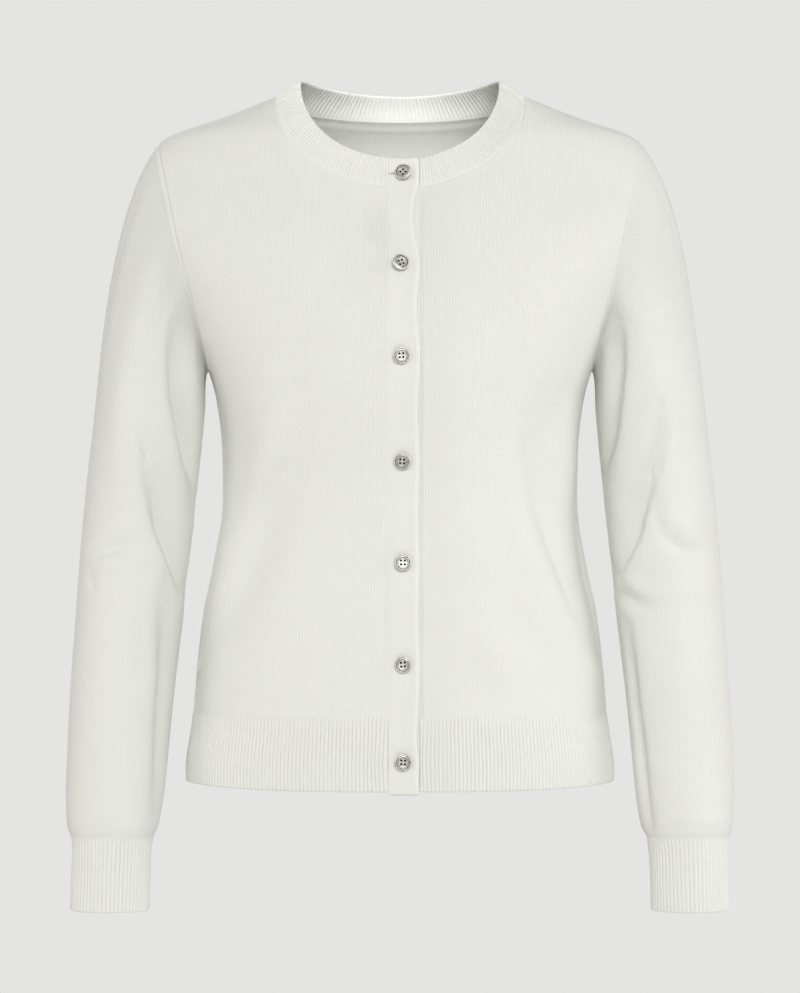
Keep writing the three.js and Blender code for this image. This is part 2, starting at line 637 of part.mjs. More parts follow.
function sleeveWall(side) {
  const { grid: plain, loop } = sleeveGrid();
  const centre = (r) => plain[r].reduce((sum, p) => sum.add(p), vec(0, 0, 0)).divideScalar(AROUND);
  const around = gridNormals(plain, true, centre);
  const perDegree = (45 * Math.PI) / 180;
  const grid = plain.map((row, r) =>
    row.map((p, c) => {
      const atEnd = r === 0 || r === plain.length - 1;
      const depth = atEnd ? 0 : foldDepth("sleeve_" + side, (360 * c) / AROUND, p.z, perDegree);
      return p.clone().addScaledVector(around[r][c], -depth);
    }),
  );
  const normals = gridNormals(grid, true, centre);
  const inner = grid.map((row, r) =>
    row.map((p, c) => p.clone().addScaledVector(r === 0 ? loop.normals[c] : normals[r][c], -KNIT)),
  );
  return side === "left" ? wall(grid, inner, true) : wall(mirrored(grid), mirrored(inner), true);
}

function cuffWall(side) {
  const ring = (z, thick) =>
    range(AROUND).map((i) => {
      const turn = (2 * Math.PI * i) / AROUND;
      const p = sleevePoint(turn, z);
      return p.add(vec(-Math.cos(turn) * thick, Math.sin(turn) * thick, 0));
    });
  const levels = range(4).map((i) => lerp(CUFF_TOP_Z - GAP / 2, CUFF_Z, i / 3));
  const [outer, inner] = [0, RIB].map((thick) => levels.map((z) => ring(z, thick)));
  return side === "left" ? wall(outer, inner, true) : wall(mirrored(outer), mirrored(inner), true);
}

// ---- Build ----
const wool = { colour: 0xebece6, roughness: 0.95, metalness: 0 };
const metal = { colour: 0x9b9b98, roughness: 0.35, metalness: 1 };
const garment = new THREE.Group();

function add(name, geometry, look) {
  const material = new THREE.MeshStandardMaterial({
    color: look.colour,
    roughness: look.roughness,
    metalness: look.metalness,
  });
  const mesh = new THREE.Mesh(geometry, material);
  mesh.name = name;
  garment.add(mesh);
  return mesh;
}

add("front_right", frontPanel("right"), wool);
add("front_left", frontPanel("left"), wool);
add("back", backPanel(), wool);
add("hem_front_right", hemBand("front", "right"), wool);
add("hem_front_left", hemBand("front", "left"), wool);
add("hem_back", hemBand("back"), wool);
add("neckband", neckband(), wool);
add("buttonhole_band", frontBand(0, HEM_Z - LAP_DROP), wool);
add("button_band", frontBand(PLY_STEP, HEM_Z), wool);
for (const side of ["right", "left"]) {
  add(`sleeve_${side}`, sleeveWall(side), wool);
  add(`cuff_${side}`, cuffWall(side), wool);
}

const disc = buttonSolid();
const { rows, normals } = frontBandRows(HEM_Z - LAP_DROP);
BUTTONS.forEach(({ x, z, tilt, nod, spin, lift }, i) => {
  const away = rows.map((row) => Math.abs(row[1].z - z));
  const normal = normals[away.indexOf(Math.min(...away))][1];
  const onBand = z > topEdgeZ("front", 0);
  const seam = bodyPoint("front", x, topEdgeZ("front", x));
  const edge = collarPoint("front", x);
  const up = (z - seam.z) / (edge.z - seam.z);
  const place = onBand ? bandPoint(seam, edge, up, normal) : bodyPoint("front", x, z);
  const button = add(`button_${i + 1}`, disc, metal);
  button.quaternion.setFromUnitVectors(vec(0, 0, 1), normal);
  button.rotateX(THREE.MathUtils.degToRad(nod));
  button.rotateY(THREE.MathUtils.degToRad(tilt));
  button.rotateZ(THREE.MathUtils.degToRad(spin));
  button.position.copy(place).addScaledVector(normal, BUTTON_LIFT + lift);
});

export default garment;
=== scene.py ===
"""A fine-knit button cardigan, filled out with no wearer: a thin knitted shell on each solid of the frame.

Sizes are in millimetres until a mesh is made. +Z is up, +X is the side of the wearer's left arm, and the
front faces -Y.
"""

import math

import bpy
import numpy as np
from mathutils import Matrix, Vector


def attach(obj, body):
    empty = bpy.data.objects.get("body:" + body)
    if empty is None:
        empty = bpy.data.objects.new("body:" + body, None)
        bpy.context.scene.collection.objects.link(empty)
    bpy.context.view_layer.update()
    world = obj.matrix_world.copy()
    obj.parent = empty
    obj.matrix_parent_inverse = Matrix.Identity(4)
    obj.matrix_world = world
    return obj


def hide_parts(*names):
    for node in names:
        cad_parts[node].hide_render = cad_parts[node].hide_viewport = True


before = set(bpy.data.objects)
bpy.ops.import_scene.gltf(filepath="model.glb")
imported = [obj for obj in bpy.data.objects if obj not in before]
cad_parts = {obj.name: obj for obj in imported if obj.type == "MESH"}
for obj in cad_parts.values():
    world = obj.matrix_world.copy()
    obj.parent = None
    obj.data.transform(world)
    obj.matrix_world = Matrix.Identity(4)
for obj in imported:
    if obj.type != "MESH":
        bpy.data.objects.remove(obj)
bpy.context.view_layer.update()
MM = 0.001


def table(columns, *rows):
    """A table's rows, each a dict under the names of its columns. A row may leave out its last ones."""
    return [dict(zip(columns.split(), row)) for row in rows]


# ---- Walls, a little thinner than the solids' ----
KNIT = 1.5
RIB = 2.0

# ---- Sizes shared with the solids ----
PLACKET = 2.4
PLY_STEP = 2.7
HEM_Z, HEM_TOP_Z = -552.0, -495.0
HEM_RISE = 3.0
LAP_DROP = 2.5
ARMPIT_Z = -227.0
SHOULDER_X, SHOULDER_Z = 190.0, -46.5
NECK_X, NECK_Z = 99.0, -9.5
NECK_DROP = {"front": 75.5, "back": 14.5}
COLLAR_X, COLLAR_Z = 78.0, 6.0
COLLAR_DEPTH = {"front": -59.0, "back": 55.0}
COLLAR_CURVE = {"front": 0.9, "back": 1.8}
COLLAR_DROP = {"front": 68.0, "back": 10.0}
CUFF_TOP_Z, CUFF_Z = -590.0, -647.0
BAND_INNER, BAND_OUTER = -9.0, 15.0
BAND_BULGE = 1.2

BODY = table(
    "z halfWidth front back frontFull backFull",
    (-560, 168, 103, 98, 2.3, 2.4),
    (-540, 169, 103, 97, 2.3, 2.4),
    (-500, 163.5, 101, 93, 2.35, 2.5),
    (-450, 159.5, 99, 84, 2.4, 2.6),
    (-415, 155, 98, 75, 2.4, 2.6),
    (-378, 147, 97, 67, 2.4, 2.6),
    (-328, 140, 98, 65, 2.4, 2.7),
    (-290, 140.5, 103, 74, 2.4, 2.8),
    (-250, 145, 109, 86, 2.4, 2.9),
    (-227, 151, 111, 91, 2.45, 3),
    (-205, 160, 110.5, 93, 2.5, 3),
    (-180, 171, 107, 94, 2.55, 3),
    (-150, 186, 99, 93, 2.6, 3),
    (-120, 199, 88, 90, 2.6, 2.9),
    (-95, 206, 76, 86, 2.5, 2.7),
    (-75, 206, 66, 80, 2.4, 2.5),
    (-58, 200, 59, 75, 2.3, 2.3),
    (-46.5, 190, 55, 71, 2.2, 2.2),
    (-40, 180.5, 52, 68, 2.2, 2.2),
    (-26.5, 141.5, 44, 60, 2.2, 2.2),
    (-9.5, 99, 34, 50, 2.2, 2.2),
    (10, 54, 24, 40, 2.2, 2.2),
)

ARMHOLE = table(
    "z front back",
    (-227, 151, 151),
    (-220, 152.1, 152.3),
    (-205, 155, 156),
    (-180, 160, 162),
    (-150, 167.5, 171),
    (-120, 175, 180),
    (-95, 180.5, 185),
    (-75, 185, 188),
    (-58, 188.5, 190),
    (-46.5, 190, 190),
)

SLEEVE = table(
    "z x y halfWidth halfDepth",
    (-257, 198, 5, 43.5, 53),
    (-300, 202.6, 7, 44, 51),
    (-341, 206.8, 8, 44, 50),
    (-375, 210, 6, 43.6, 49),
    (-432, 214.6, -3, 42.3, 46),
    (-490, 219, -15, 40.8, 43),
    (-551, 222.8, -29, 39, 39),
    (-570, 223.8, -33, 37.4, 36.5),
    (-583, 224.5, -36, 35.6, 33.6),
    (-593, 224.8, -38, 31.4, 29.5),
    (-606, 225.2, -41, 30.6, 28),
    (-647, 226, -49, 30.2, 27),
)

CAP = table(
    "turn follow start end",
    (0, 0.2, 163, 190),
    (0.25, 0.7, 75, 150),
    (0.5, 0, 14, 26),
    (0.75, 0.7, 75, 150),
    (1, 0.2, 163, 190),
)

# ---- Folds, placed one by one ----
# Each runs through three points. On the body they are x, z; on a sleeve, degrees round from its outside and
# z. A trough has a depth; a ridge's depth is below zero. Where "wide" is given, it is the width on the
# right-hand side of the way the fold runs.
FOLDS = {
    "front": table(
        "a b c depth width wide",
        ((-94, -312), (-116, -370), (-152, -448), 11, 25, 11),
        ((-92, -240), (-102, -284), (-114, -330), -3.4, 13),
        ((-146, -236), (-134, -270), (-130, -330), 3.9, 17),
        ((-62, -196), (-84, -222), (-92, -262), 1.4, 14),
        ((100, -268), (112, -330), (154, -444), 10, 20, 10),
        ((83, -312), (98, -362), (138, -436), -3.4, 11),
        ((78, -404), (110, -444), (132, -482), 3.1, 11),
        ((52, -420), (72, -446), (92, -474), -1.9, 14),
        ((143, -232), (127, -258), (113, -284), 3.4, 16),
        ((-25, -82), (-18, -108), (-6, -132), 8, 8, 13),
        ((-7, -335), (-11, -404), (-12, -488), 1.4, 4),
        ((-48, -430), (-56, -452), (-58, -484), 1.2, 10),
    ),
    "back": table(
        "a b c depth width wide",
        ((-134, -330), (-80, -352), (-15, -350), 7.8, 11, 16),
        ((133, -318), (86, -337), (22, -333), 6.8, 11, 15),
        ((-136, -368), (-96, -390), (-40, -397), 5.3, 12),
        ((140, -362), (104, -382), (58, -388), 5.6, 12),
        ((-20, -374), (10, -380), (50, -372), 3.4, 9),
        ((-122, -250), (-104, -276), (-84, -292), 3.7, 13),
        ((122, -248), (104, -270), (82, -288), 4, 13),
        ((-60, -420), (-52, -452), (-58, -486), 2.2, 16),
        ((70, -412), (84, -440), (110, -470), 2.8, 16),
    ),
    "sleeve_right": table(
        "a b c depth width wide",
        ((106, -192), (124, -244), (154, -300), 12, 11, 7),
        ((130, -254), (146, -284), (166, -322), 6.5, 9),
        ((128, -172), (138, -214), (152, -248), -1.8, 5.5),
        ((77, -140), (80, -172), (84, -206), 2.6, 8),
        ((93, -138), (97, -170), (98, -202), -1.6, 8),
        ((61, -185), (60, -262), (74, -328), -1.9, 11),
        ((96, -302), (121, -348), (160, -394), 15, 19, 6.5),
        ((50, -369), (75, -365), (98, -367), 5.2, 9, 4.5),
        ((48, -378), (72, -379), (94, -384), -2.4, 6),
        ((42, -386), (46, -393), (52, -400), 1.3, 3.5),
        ((132, -400), (150, -468), (154, -566), 8.5, 15, 10),
        ((200, -330), (262, -352), (318, -340), 5.5, 9, 13),
        ((210, -392), (272, -385), (330, -400), 4, 9),
        ((225, -262), (262, -276), (300, -270), 2.2, 10),
        ((235, -450), (270, -462), (308, -455), 2, 11),
        ((18, -575), (60, -577), (110, -576), -0.9, 4),
    ),
    "sleeve_left": table(
        "a b c depth width wide",
        ((114, -190), (128, -228), (156, -288), 10.5, 11, 7),
        ((131, -250), (147, -280), (172, -314), 4.5, 8),
        ((140, -160), (148, -186), (160, -214), 2.2, 6),
        ((134, -196), (144, -230), (154, -262), -1.8, 5.5),
        ((82, -258), (95, -300), (110, -330), 6, 9, 6),
        ((104, -314), (126, -352), (156, -384), 13.5, 17, 6),
        ((94, -358), (74, -368), (49, -372), 4.8, 5, 7),
        ((84, -345), (64, -350), (45, -358), -2.8, 8),
        ((96, -326), (98, -342), (92, -357), 2.4, 5),
        ((156, -403), (130, -409), (108, -410), 4.6, 6),
        ((146, -385), (131, -393), (114, -397), -2.2, 7),
        ((148, -428), (152, -486), (146, -582), 6, 8, 7),
        ((205, -345), (258, -338), (322, -352), 5.2, 9, 13),
        ((206, -402), (266, -394), (324, -380), 4.2, 9),
        ((222, -270), (258, -281), (296, -272), 2, 10),
        ((238, -455), (272, -448), (310, -460), 2.2, 11),
        ((20, -574), (64, -577), (112, -575), -0.9, 4),
    ),
}

# The upper front band's free edge: how far it is drawn in, and how far it lifts, at each height.
LAP = table(
    "z inward lift",
    (-555, 0.2, 0.4),
    (-541, 1.0, 0.7),
    (-529, 0.2, 0.1),
    (-512, 2.4, 0.8),
    (-480, 0.6, 0.7),
    (-454, 0.2, 0.1),
    (-415, 1.0, 0.8),
    (-375, 0.4, 0.1),
    (-338, 1.3, 0.8),
    (-298, 0.2, 0.1),
    (-258, 1.6, 0.8),
    (-218, -0.6, 0.1),
    (-182, 2.2, 0.9),
    (-160, 0.8, 0.5),
    (-145, -0.2, 0.1),
    (-126, 3.4, 0.9),
    (-109, 5.0, 1.1),
    (-94, 3.2, 0.8),
    (-82, 0.4, 0.3),
    (-73, 0.0, 0.2),
    (-60, 1.8, 0.4),
)

BUTTONS = table(
    "x z tilt nod spin lift",
    (2.5, -75.5, -13, 6, 40, 1.1),
    (0.5, -146.3, 15, -4, 26, 1.2),
    (1.0, -217.2, 5, 3, 4, 0.2),
    (1.7, -297.8, -4, 2, -3, 0.1),
    (2.2, -375.8, 3, -3, 2, 0.1),
    (2.3, -454, -3, 2, 6, 0.0),
    (2.3, -528.8, 4, 4, -4, 0.2),
)
BUTTON_LIFT = 0.9

# ---- Fineness ----
STEP = 2.4  # of the plain knit's mesh
RIB_COLUMNS = 8  # across one rib
HEM_RIBS = 68  # across half the body
CUFF_RIBS = 58
NECK_RIBS = {"front": 57, "back": 38}  # from the middle to the shoulder
RIB_HEIGHT = 1.1
NECK_RIB_HEIGHT = 0.8
RIB_MIDDLE = 0.62  # of a rib's height: where the plain form runs


# ---- Small tools ----
def lerp(a, b, t):
    return a + (b - a) * t


def smoothstep(x, low, high):
    t = np.clip((np.asarray(x, float) - low) / (high - low), 0, 1)
    return t * t * (3 - 2 * t)


def unit(v):
    return v / np.maximum(np.linalg.norm(v, axis=-1, keepdims=True), 1e-12)


def xyz(x, y, z):
    return np.stack(np.broadcast_arrays(np.asarray(x, float), y, z), axis=-1)


def column(rows, name, key="z"):
    """A smooth curve through one column of a table, with no overshoot between rows."""
    rows = sorted(rows, key=lambda r: r[key])
    at = np.array([r[key] for r in rows], float)
    value = np.array([r[name] for r in rows], float)
    rise = np.diff(value) / np.diff(at)
    slope = np.empty_like(at)
    slope[0], slope[-1] = rise[0], rise[-1]
    a, b = rise[:-1], rise[1:]
    total = np.where(a + b == 0, 1, a + b)
    slope[1:-1] = np.where(a * b <= 0, 0, 2 * a * b / total)

    def curve(t):
        c = np.clip(np.asarray(t, float), at[0], at[-1])
        i = np.clip(np.searchsorted(at, c, side="right") - 1, 0, len(at) - 2)
        h = at[i + 1] - at[i]
        s = (c - at[i]) / h
        return (
            (1 + 2 * s) * (1 - s) ** 2 * value[i]
            + s * (1 - s) ** 2 * h * slope[i]
            + s * s * (3 - 2 * s) * value[i + 1]
            + s * s * (s - 1) * h * slope[i + 1]
        )

    return curve


def even_steps(path, count, samples=160, finer=1.0):
    """Where a path, which takes 0 to 1, is sampled for steps of equal length, or of finer ones at its end."""
    t = np.linspace(0, 1, samples + 1)
    along = np.concatenate([[0], np.cumsum(np.linalg.norm(np.diff(path(t), axis=0), axis=1))])
    steps = 1 - (1 - np.linspace(0, 1, count + 1)) ** finer
    return np.interp(steps * along[-1], along, t)


# ---- The body's surface ----
body = {name: column(BODY, name) for name in ("halfWidth", "front", "back", "frontFull", "backFull")}
armhole_x = {face: column(ARMHOLE, face) for face in ("front", "back")}
SIGN = {"front": -1.0, "back": 1.0}
_ridge_z = np.linspace(SHOULDER_Z, NECK_Z, 400)
_ridge_x = body["halfWidth"](_ridge_z)


def body_normal(face, p):
    def level(x, y, z):
        full = body[face + "Full"](z)
        return (np.abs(x) / body["halfWidth"](z)) ** full + (np.abs(y) / body[face](z)) ** full

    e, (x, y, z) = 0.05, (p[..., 0], p[..., 1], p[..., 2])
    return unit(
        xyz(
            level(x + e, y, z) - level(x - e, y, z),
            level(x, y + e, z) - level(x, y - e, z),
            level(x, y, z + e) - level(x, y, z - e),
        )
    )


def body_point(face, x, z, inset=0.0):
    full = body[face + "Full"](z)
    share = np.minimum(np.abs(x) / body["halfWidth"](z), 1)
    depth = body[face](z) * (1 - share**full) ** (1 / full)
    p = xyz(x, SIGN[face] * np.maximum(depth, 0.01), z)
    return p - body_normal(face, p) * np.asarray(inset)[..., None]


def top_edge_z(face, x):
    away = np.abs(x)
    low = NECK_Z - NECK_DROP[face] * np.sqrt(np.maximum(1 - (away / NECK_X) ** 2, 0))
    ridge = np.interp(away, _ridge_x[::-1], _ridge_z[::-1])
    return np.where(away >= NECK_X, ridge, low)


def no_inset(x):
    return np.zeros_like(np.asarray(x, float))


def under(x):
    return PLY_STEP * (1 - smoothstep(x, BAND_OUTER, BAND_OUTER + 34))


def row_points(face, start, level, share, inset=no_inset):
    """A panel's row. A level is ("z", height), or ("up", share of the way from the armpit to the top)."""
    kind, value = level
    if kind == "z":
        x = lerp(start, body["halfWidth"](value), share)
        return body_point(face, x, np.broadcast_to(value, x.shape), inset(x))
    x = lerp(start, armhole_x[face](lerp(ARMPIT_Z, SHOULDER_Z, value)), share)
    top = top_edge_z(face, lerp(start, SHOULDER_X, share))
    return body_point(face, x, lerp(ARMPIT_Z, top, value), inset(x))


def even_shares(face, start, level, low, high, count, finer=1.0):
    def share_at(t):
        a, b = (math.asin(v) * 2 / math.pi for v in (low, high))
        return np.sin(lerp(a, b, t) * math.pi / 2)

    return share_at(even_steps(lambda t: row_points(face, start, level, share_at(t)), count, finer=finer))


def armhole_ups(face, count):
    def height(t):
        return lerp(ARMPIT_Z, SHOULDER_Z, (1 - np.cos(math.pi * t)) / 2)

    steps = even_steps(lambda t: body_point(face, armhole_x[face](height(t)), height(t)), count)
    return (height(steps) - ARMPIT_Z) / (SHOULDER_Z - ARMPIT_Z)


ROWS_LOW = round((ARMPIT_Z - HEM_TOP_Z) / STEP)
ROWS_HIGH = 84
INSIDE, OUTSIDE = 52, 46


def panel_grid(face, start, inset=no_inset):
    """Half a panel's outer points, with a column that ends at the neck corner."""
    corner = (NECK_X - start) / (SHOULDER_X - start)

    def shares(level):
        a = even_shares(face, start, level, 0, corner, INSIDE)
        b = even_shares(face, start, level, corner, 1, OUTSIDE, 1.4)
        return np.concatenate([a, b[1:]])

    top = shares(("up", 1.0))
    rows = [
        row_points(face, start, ("z", z), shares(("z", z)), inset)
        for z in np.linspace(HEM_TOP_Z, ARMPIT_Z, ROWS_LOW, endpoint=False)
    ]
    for up in armhole_ups(face, ROWS_HIGH):
        level = ("up", float(up))
        rows.append(row_points(face, start, level, lerp(shares(level), top, up), inset))
    return np.array(rows)


# ---- Folds ----
def nearest(p, a, b):
    """Distance from a line, below zero on its right-hand side, and how far along it."""
    line = b - a
    share = np.clip(((p - a) @ line) / (line @ line), 0, 1)
    gap = p - (a + share[..., None] * line)
    side = np.where(line[0] * gap[..., 1] - line[1] * gap[..., 0] < 0, -1.0, 1.0)
    return np.linalg.norm(gap, axis=-1) * side, share * np.linalg.norm(line)


def fold_depth(piece, u, v, per_degree=1.0):
    total = np.zeros_like(u)
    here = np.stack([u * per_degree, v], axis=-1)
    for fold in FOLDS[piece]:
        a, b, c = (np.array([q[0] * per_degree, q[1]], float) for q in (fold["a"], fold["b"], fold["c"]))
        first = np.linalg.norm(b - a)
        whole = first + np.linalg.norm(c - b)
        away1, run1 = nearest(here, a, b)
        away2, run2 = nearest(here, b, c)
        closer = np.abs(away1) <= np.abs(away2)
        away = np.where(closer, away1, away2)
        run = np.where(closer, run1, run2 + first)
        width = np.where(away < 0, fold.get("wide", fold["width"]), fold["width"])
        taper = 0.3 + 0.7 * np.sin(math.pi * run / whole)
        total += fold["depth"] * taper * np.exp(-((away / width) ** 2))
    return total


def waviness(x, z, seed):
    """The slow unevenness of knitted cloth that hangs: about half a millimetre."""
    a = np.sin(x / 31 + seed) * np.sin(z / 43 + 2.1 * seed)
    b = np.sin(x / 17 + z / 61 + 1.7 * seed) * 0.5
    c = np.sin(z / 23 - x / 37 + 0.6 * seed) * 0.4
    return 0.35 * (a + b + c)


def face_depth(face, x, z):
    return fold_depth(face, x, z) + waviness(x, z, {"front": 0.4, "back": 4.1}[face])


# ---- Mesh making ----
def new_object(name, data):
    obj = bpy.data.objects.new(name, data)
    bpy.context.scene.collection.objects.link(obj)
    return obj


def smooth(mesh):
    mesh.polygons.foreach_set("use_smooth", np.ones(len(mesh.polygons), bool))


def arc(grid, axis):
    step = np.linalg.norm(np.diff(grid, axis=axis), axis=-1)
    pad = [(0, 0), (0, 0)]
    pad[axis] = (1, 0)
    return np.pad(np.cumsum(step, axis=axis), pad)


def grid_normals(grid, closed, reference):
    """Each point's normal, on the side that the reference normals or outward points show."""
    if closed:
        across = np.roll(grid, -1, axis=1) - np.roll(grid, 1, axis=1)
    else:
        across = np.gradient(grid, axis=1)
    normal = unit(np.cross(across, np.gradient(grid, axis=0)))
    side = np.sign(np.sum(normal * reference, axis=-1, keepdims=True))
    return normal * np.where(side == 0, 1, side)


def shell(name, outer, inner, uv, material, replaces, closed=False):
    """A closed wall between a grid of outer points and one of inner points. A closed grid is a tube."""
    rows, cols = outer.shape[:2]
    points = np.concatenate([outer.reshape(-1, 3), inner.reshape(-1, 3)]) * MM
    index = np.arange(2 * rows * cols).reshape(2, rows, cols)
    if closed:
        index = np.concatenate([index, index[:, :, :1]], axis=2)
    out, back = index

    def quads(a):
        return np.stack([a[:-1, :-1], a[:-1, 1:], a[1:, 1:], a[1:, :-1]], axis=-1).reshape(-1, 4)

    def rim(a, b):
        return np.stack([a[:-1], b[:-1], b[1:], a[1:]], axis=-1)

    faces = [quads(out), quads(back)[:, ::-1], rim(out[0], back[0]), rim(out[-1], back[-1])[:, ::-1]]
    if not closed:
        faces += [rim(out[:, 0], back[:, 0])[:, ::-1], rim(out[:, -1], back[:, -1])]
    faces = np.concatenate(faces)
    a, b, c, d = (points[faces[:, k]] for k in range(4))
    volume = np.sum(np.cross(a, b) * c) + np.sum(np.cross(a, c) * d)
    if volume < 0:
        faces = faces[:, ::-1]
    mesh = bpy.data.meshes.new(name)
    mesh.vertices.add(len(points))
    mesh.vertices.foreach_set("co", points.ravel())
    mesh.loops.add(faces.size)
    mesh.loops.foreach_set("vertex_index", faces.ravel().astype(np.int32))
    mesh.polygons.add(len(faces))
    mesh.polygons.foreach_set("loop_start", np.arange(0, faces.size, 4, dtype=np.int32))
    mesh.update(calc_edges=True)
    layer = mesh.uv_layers.new(name="knit")
    flat = np.concatenate([uv.reshape(-1, 2)] * 2) * MM
    layer.data.foreach_set("uv", flat[faces.ravel()].ravel())
    smooth(mesh)
    mesh.set_sharp_from_angle(angle=math.radians(62))
    mesh.validate()
    mesh.materials.append(material)
    obj = new_object(name, mesh)
    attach(obj, "root")
    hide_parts(replaces)
    return obj


def soften(outer, inner, away, reach, keep=0.2):
    """Rounds a wall's free edge: `away` is each point's distance from it."""
    t = np.clip(away / reach, 0, 1)
    pull = (1 - keep) * (1 - np.sqrt(np.maximum(1 - (1 - t) ** 2, 0)))[..., None] / 2
    gap = outer - inner
    return outer - gap * pull, inner + gap * pull


def mirror(grid):
    return grid * np.array([-1.0, 1.0, 1.0])


# ---- Materials ----
def material_tree(name):
    """A new material, and the functions that fill its shader, add a node and add a colour ramp."""
    mat = bpy.data.materials.new(name)
    mat.use_nodes = True
    nodes, links = mat.node_tree.nodes, mat.node_tree.links

    def fill(inputs, values):
        """A socket is linked to its input, and a number or colour is set on it."""
        for slot, value in values.items():
            if isinstance(value, bpy.types.NodeSocket):
                links.new(value, inputs[slot])
            else:
                inputs[slot].default_value = value

    def add(kind, values, **settings):
        node = nodes.new("ShaderNode" + kind)
        for key, setting in settings.items():
            setattr(node, key, setting)
        fill(node.inputs, values)
        return node.outputs

    def ramp(source, *stops):
        node = nodes.new("ShaderNodeValToRGB")
        for element, (position, colour) in zip(node.color_ramp.elements, stops):
            element.position, element.color = position, colour
        links.new(source, node.inputs["Fac"])
        return node.outputs[0]

    return mat, lambda values: fill(nodes["Principled BSDF"].inputs, values), add, ramp


def knit_material(name, wale, course, depth):
    """Ivory knit: V stitches in wales that run up the cloth, a soft nap, slight changes of colour, and
    painted shade between the wales.
    """
    mat, shade_with, add, ramp = material_tree(name)
    place = add("TexCoord", {})["Object"]

    def math_node(operation, *values):
        return add("Math", dict(enumerate(values)), operation=operation)[0]

    def noise(scale, detail=2.0, rough=0.5):
        values = {"Scale": scale, "Detail": detail, "Roughness": rough, "Vector": place}
        return add("TexNoise", values)["Fac"]

    knit_uv = add("SeparateXYZ", {0: add("UVMap", {}, uv_map="knit")[0]})
    # Wales wander a little, as hand-fed yarn does.
    wander = math_node("MULTIPLY_ADD", noise(38.0), 0.0009, -0.00045)
    across = math_node("DIVIDE", math_node("ADD", knit_uv[0], wander), wale * MM)
    part = math_node("FRACT", across)
    centred = math_node("ABSOLUTE", math_node("SUBTRACT", part, 0.5))
    ridge = math_node("POWER", math_node("SINE", math_node("MULTIPLY", part, math.pi)), 0.6)
    lean = math_node("MULTIPLY", centred, 1.7)
    up = math_node("ADD", math_node("DIVIDE", knit_uv[1], course * MM), lean)
    stitch = math_node("SINE", math_node("MULTIPLY", up, 2 * math.pi))
    knit = math_node("ADD", math_node("MULTIPLY", ridge, 0.72), math_node("MULTIPLY", stitch, 0.16))
    # The wales show most on the upper chest, where the knit is pulled smooth.
    reach = {"From Min": -0.36, "From Max": -0.15, "To Min": 0.5, "To Max": 1.0}
    drawn = add("MapRange", {"Value": add("SeparateXYZ", {0: place})[2], **reach})[0]
    fuzz, lumps = noise(900.0, 3.0, 0.6), noise(210.0)
    nap = math_node("MULTIPLY_ADD", fuzz, 0.35, math_node("MULTIPLY", lumps, 0.5))
    height = math_node("ADD", math_node("MULTIPLY", knit, drawn), nap)
    # Darker between wales, which is painted shade, and faint warm and cool patches.
    patches = math_node("ADD", math_node("MULTIPLY", noise(14.0, 3.0), 0.3), math_node("MULTIPLY", fuzz, 0.3))
    wale_shade_and_patches = math_node("ADD", math_node("MULTIPLY", ridge, 0.45), patches)
    shade_with({
        "Roughness": 0.92,
        "Specular IOR Level": 0.18,
        "Sheen Weight": 0.22,
        "Sheen Roughness": 0.45,
        "Normal": add("Bump", {"Strength": 1.0, "Distance": depth * MM, "Height": height})[0],
        "Base Color": ramp(wale_shade_and_patches, (0.1, (0.74, 0.742, 0.69, 1)), (0.9, (0.835, 0.845, 0.81, 1))),
    })
    return mat


def metal_material():
    """Old silver: worn bright on what stands proud, dark where polish never reaches."""
    mat, shade_with, add, ramp = material_tree("antique_silver")
    place = add("TexCoord", {})["Object"]
    grain = add("TexNoise", {"Scale": 420.0, "Detail": 4.0, "Vector": place})["Fac"]
    worn = add("NewGeometry", {})["Pointiness"]
    polish = ramp(worn, (0.43, (0.06, 0.057, 0.052, 1)), (0.5, (0.78, 0.77, 0.74, 1)))
    specks = ramp(grain, (0.35, (0.5, 0.48, 0.45, 1)), (0.62, (1, 1, 1, 1)))
    dulled = {"Factor": 0.45, "A": polish, "B": specks}
    shade_with({
        "Metallic": 1.0,
        "Base Color": add("Mix", dulled, data_type="RGBA", blend_type="MULTIPLY")["Result"],
        "Roughness": add("MapRange", {"Value": grain, "To Min": 0.32, "To Max": 0.52})[0],
        "Normal": add("Bump", {"Strength": 0.5, "Distance": 0.00008, "Height": grain})[0],
    })
    return mat


def tarnish_and_hole_shade_material():
    """Near black: the tarnished grooves of a button, and painted shade on the walls of its holes."""
    mat, shade_with, add, ramp = material_tree("tarnish_and_hole_shade")
    noise = add("TexNoise", {"Scale": 900.0})["Fac"]
    colour = ramp(noise, (0, (0.012, 0.011, 0.01, 1)), (1, (0.04, 0.038, 0.034, 1)))
    shade_with({"Base Color": colour, "Roughness": 0.8})
    return mat


plain_knit = knit_material("ivory_plain_knit", 2.0, 1.5, 0.34)
rib_knit = knit_material("ivory_rib_knit", 1.53, 1.4, 0.09)
band_knit = knit_material("ivory_band_knit", 1.7, 1.4, 0.16)
silver = metal_material()
tarnish_and_hole_shade = tarnish_and_hole_shade_material()


# ---- Panels ----
START = {"right": -BAND_INNER, "left": BAND_OUTER}
halves = {
    "front_right": panel_grid("front", START["right"]),
    "front_left": panel_grid("front", START["left"], under),
    "back": panel_grid("back", 0.0),
}


def armhole_seam_shows(z):
    """The armhole's seam shows least towards the underarm."""
    return 1 - 0.8 * smoothstep(-z, 105, 165)


def seam_dip(away, depth=0.7, reach=1.6):
    """Cloth turns in at a linked seam."""
    return depth * np.exp(-((away / reach) ** 2))


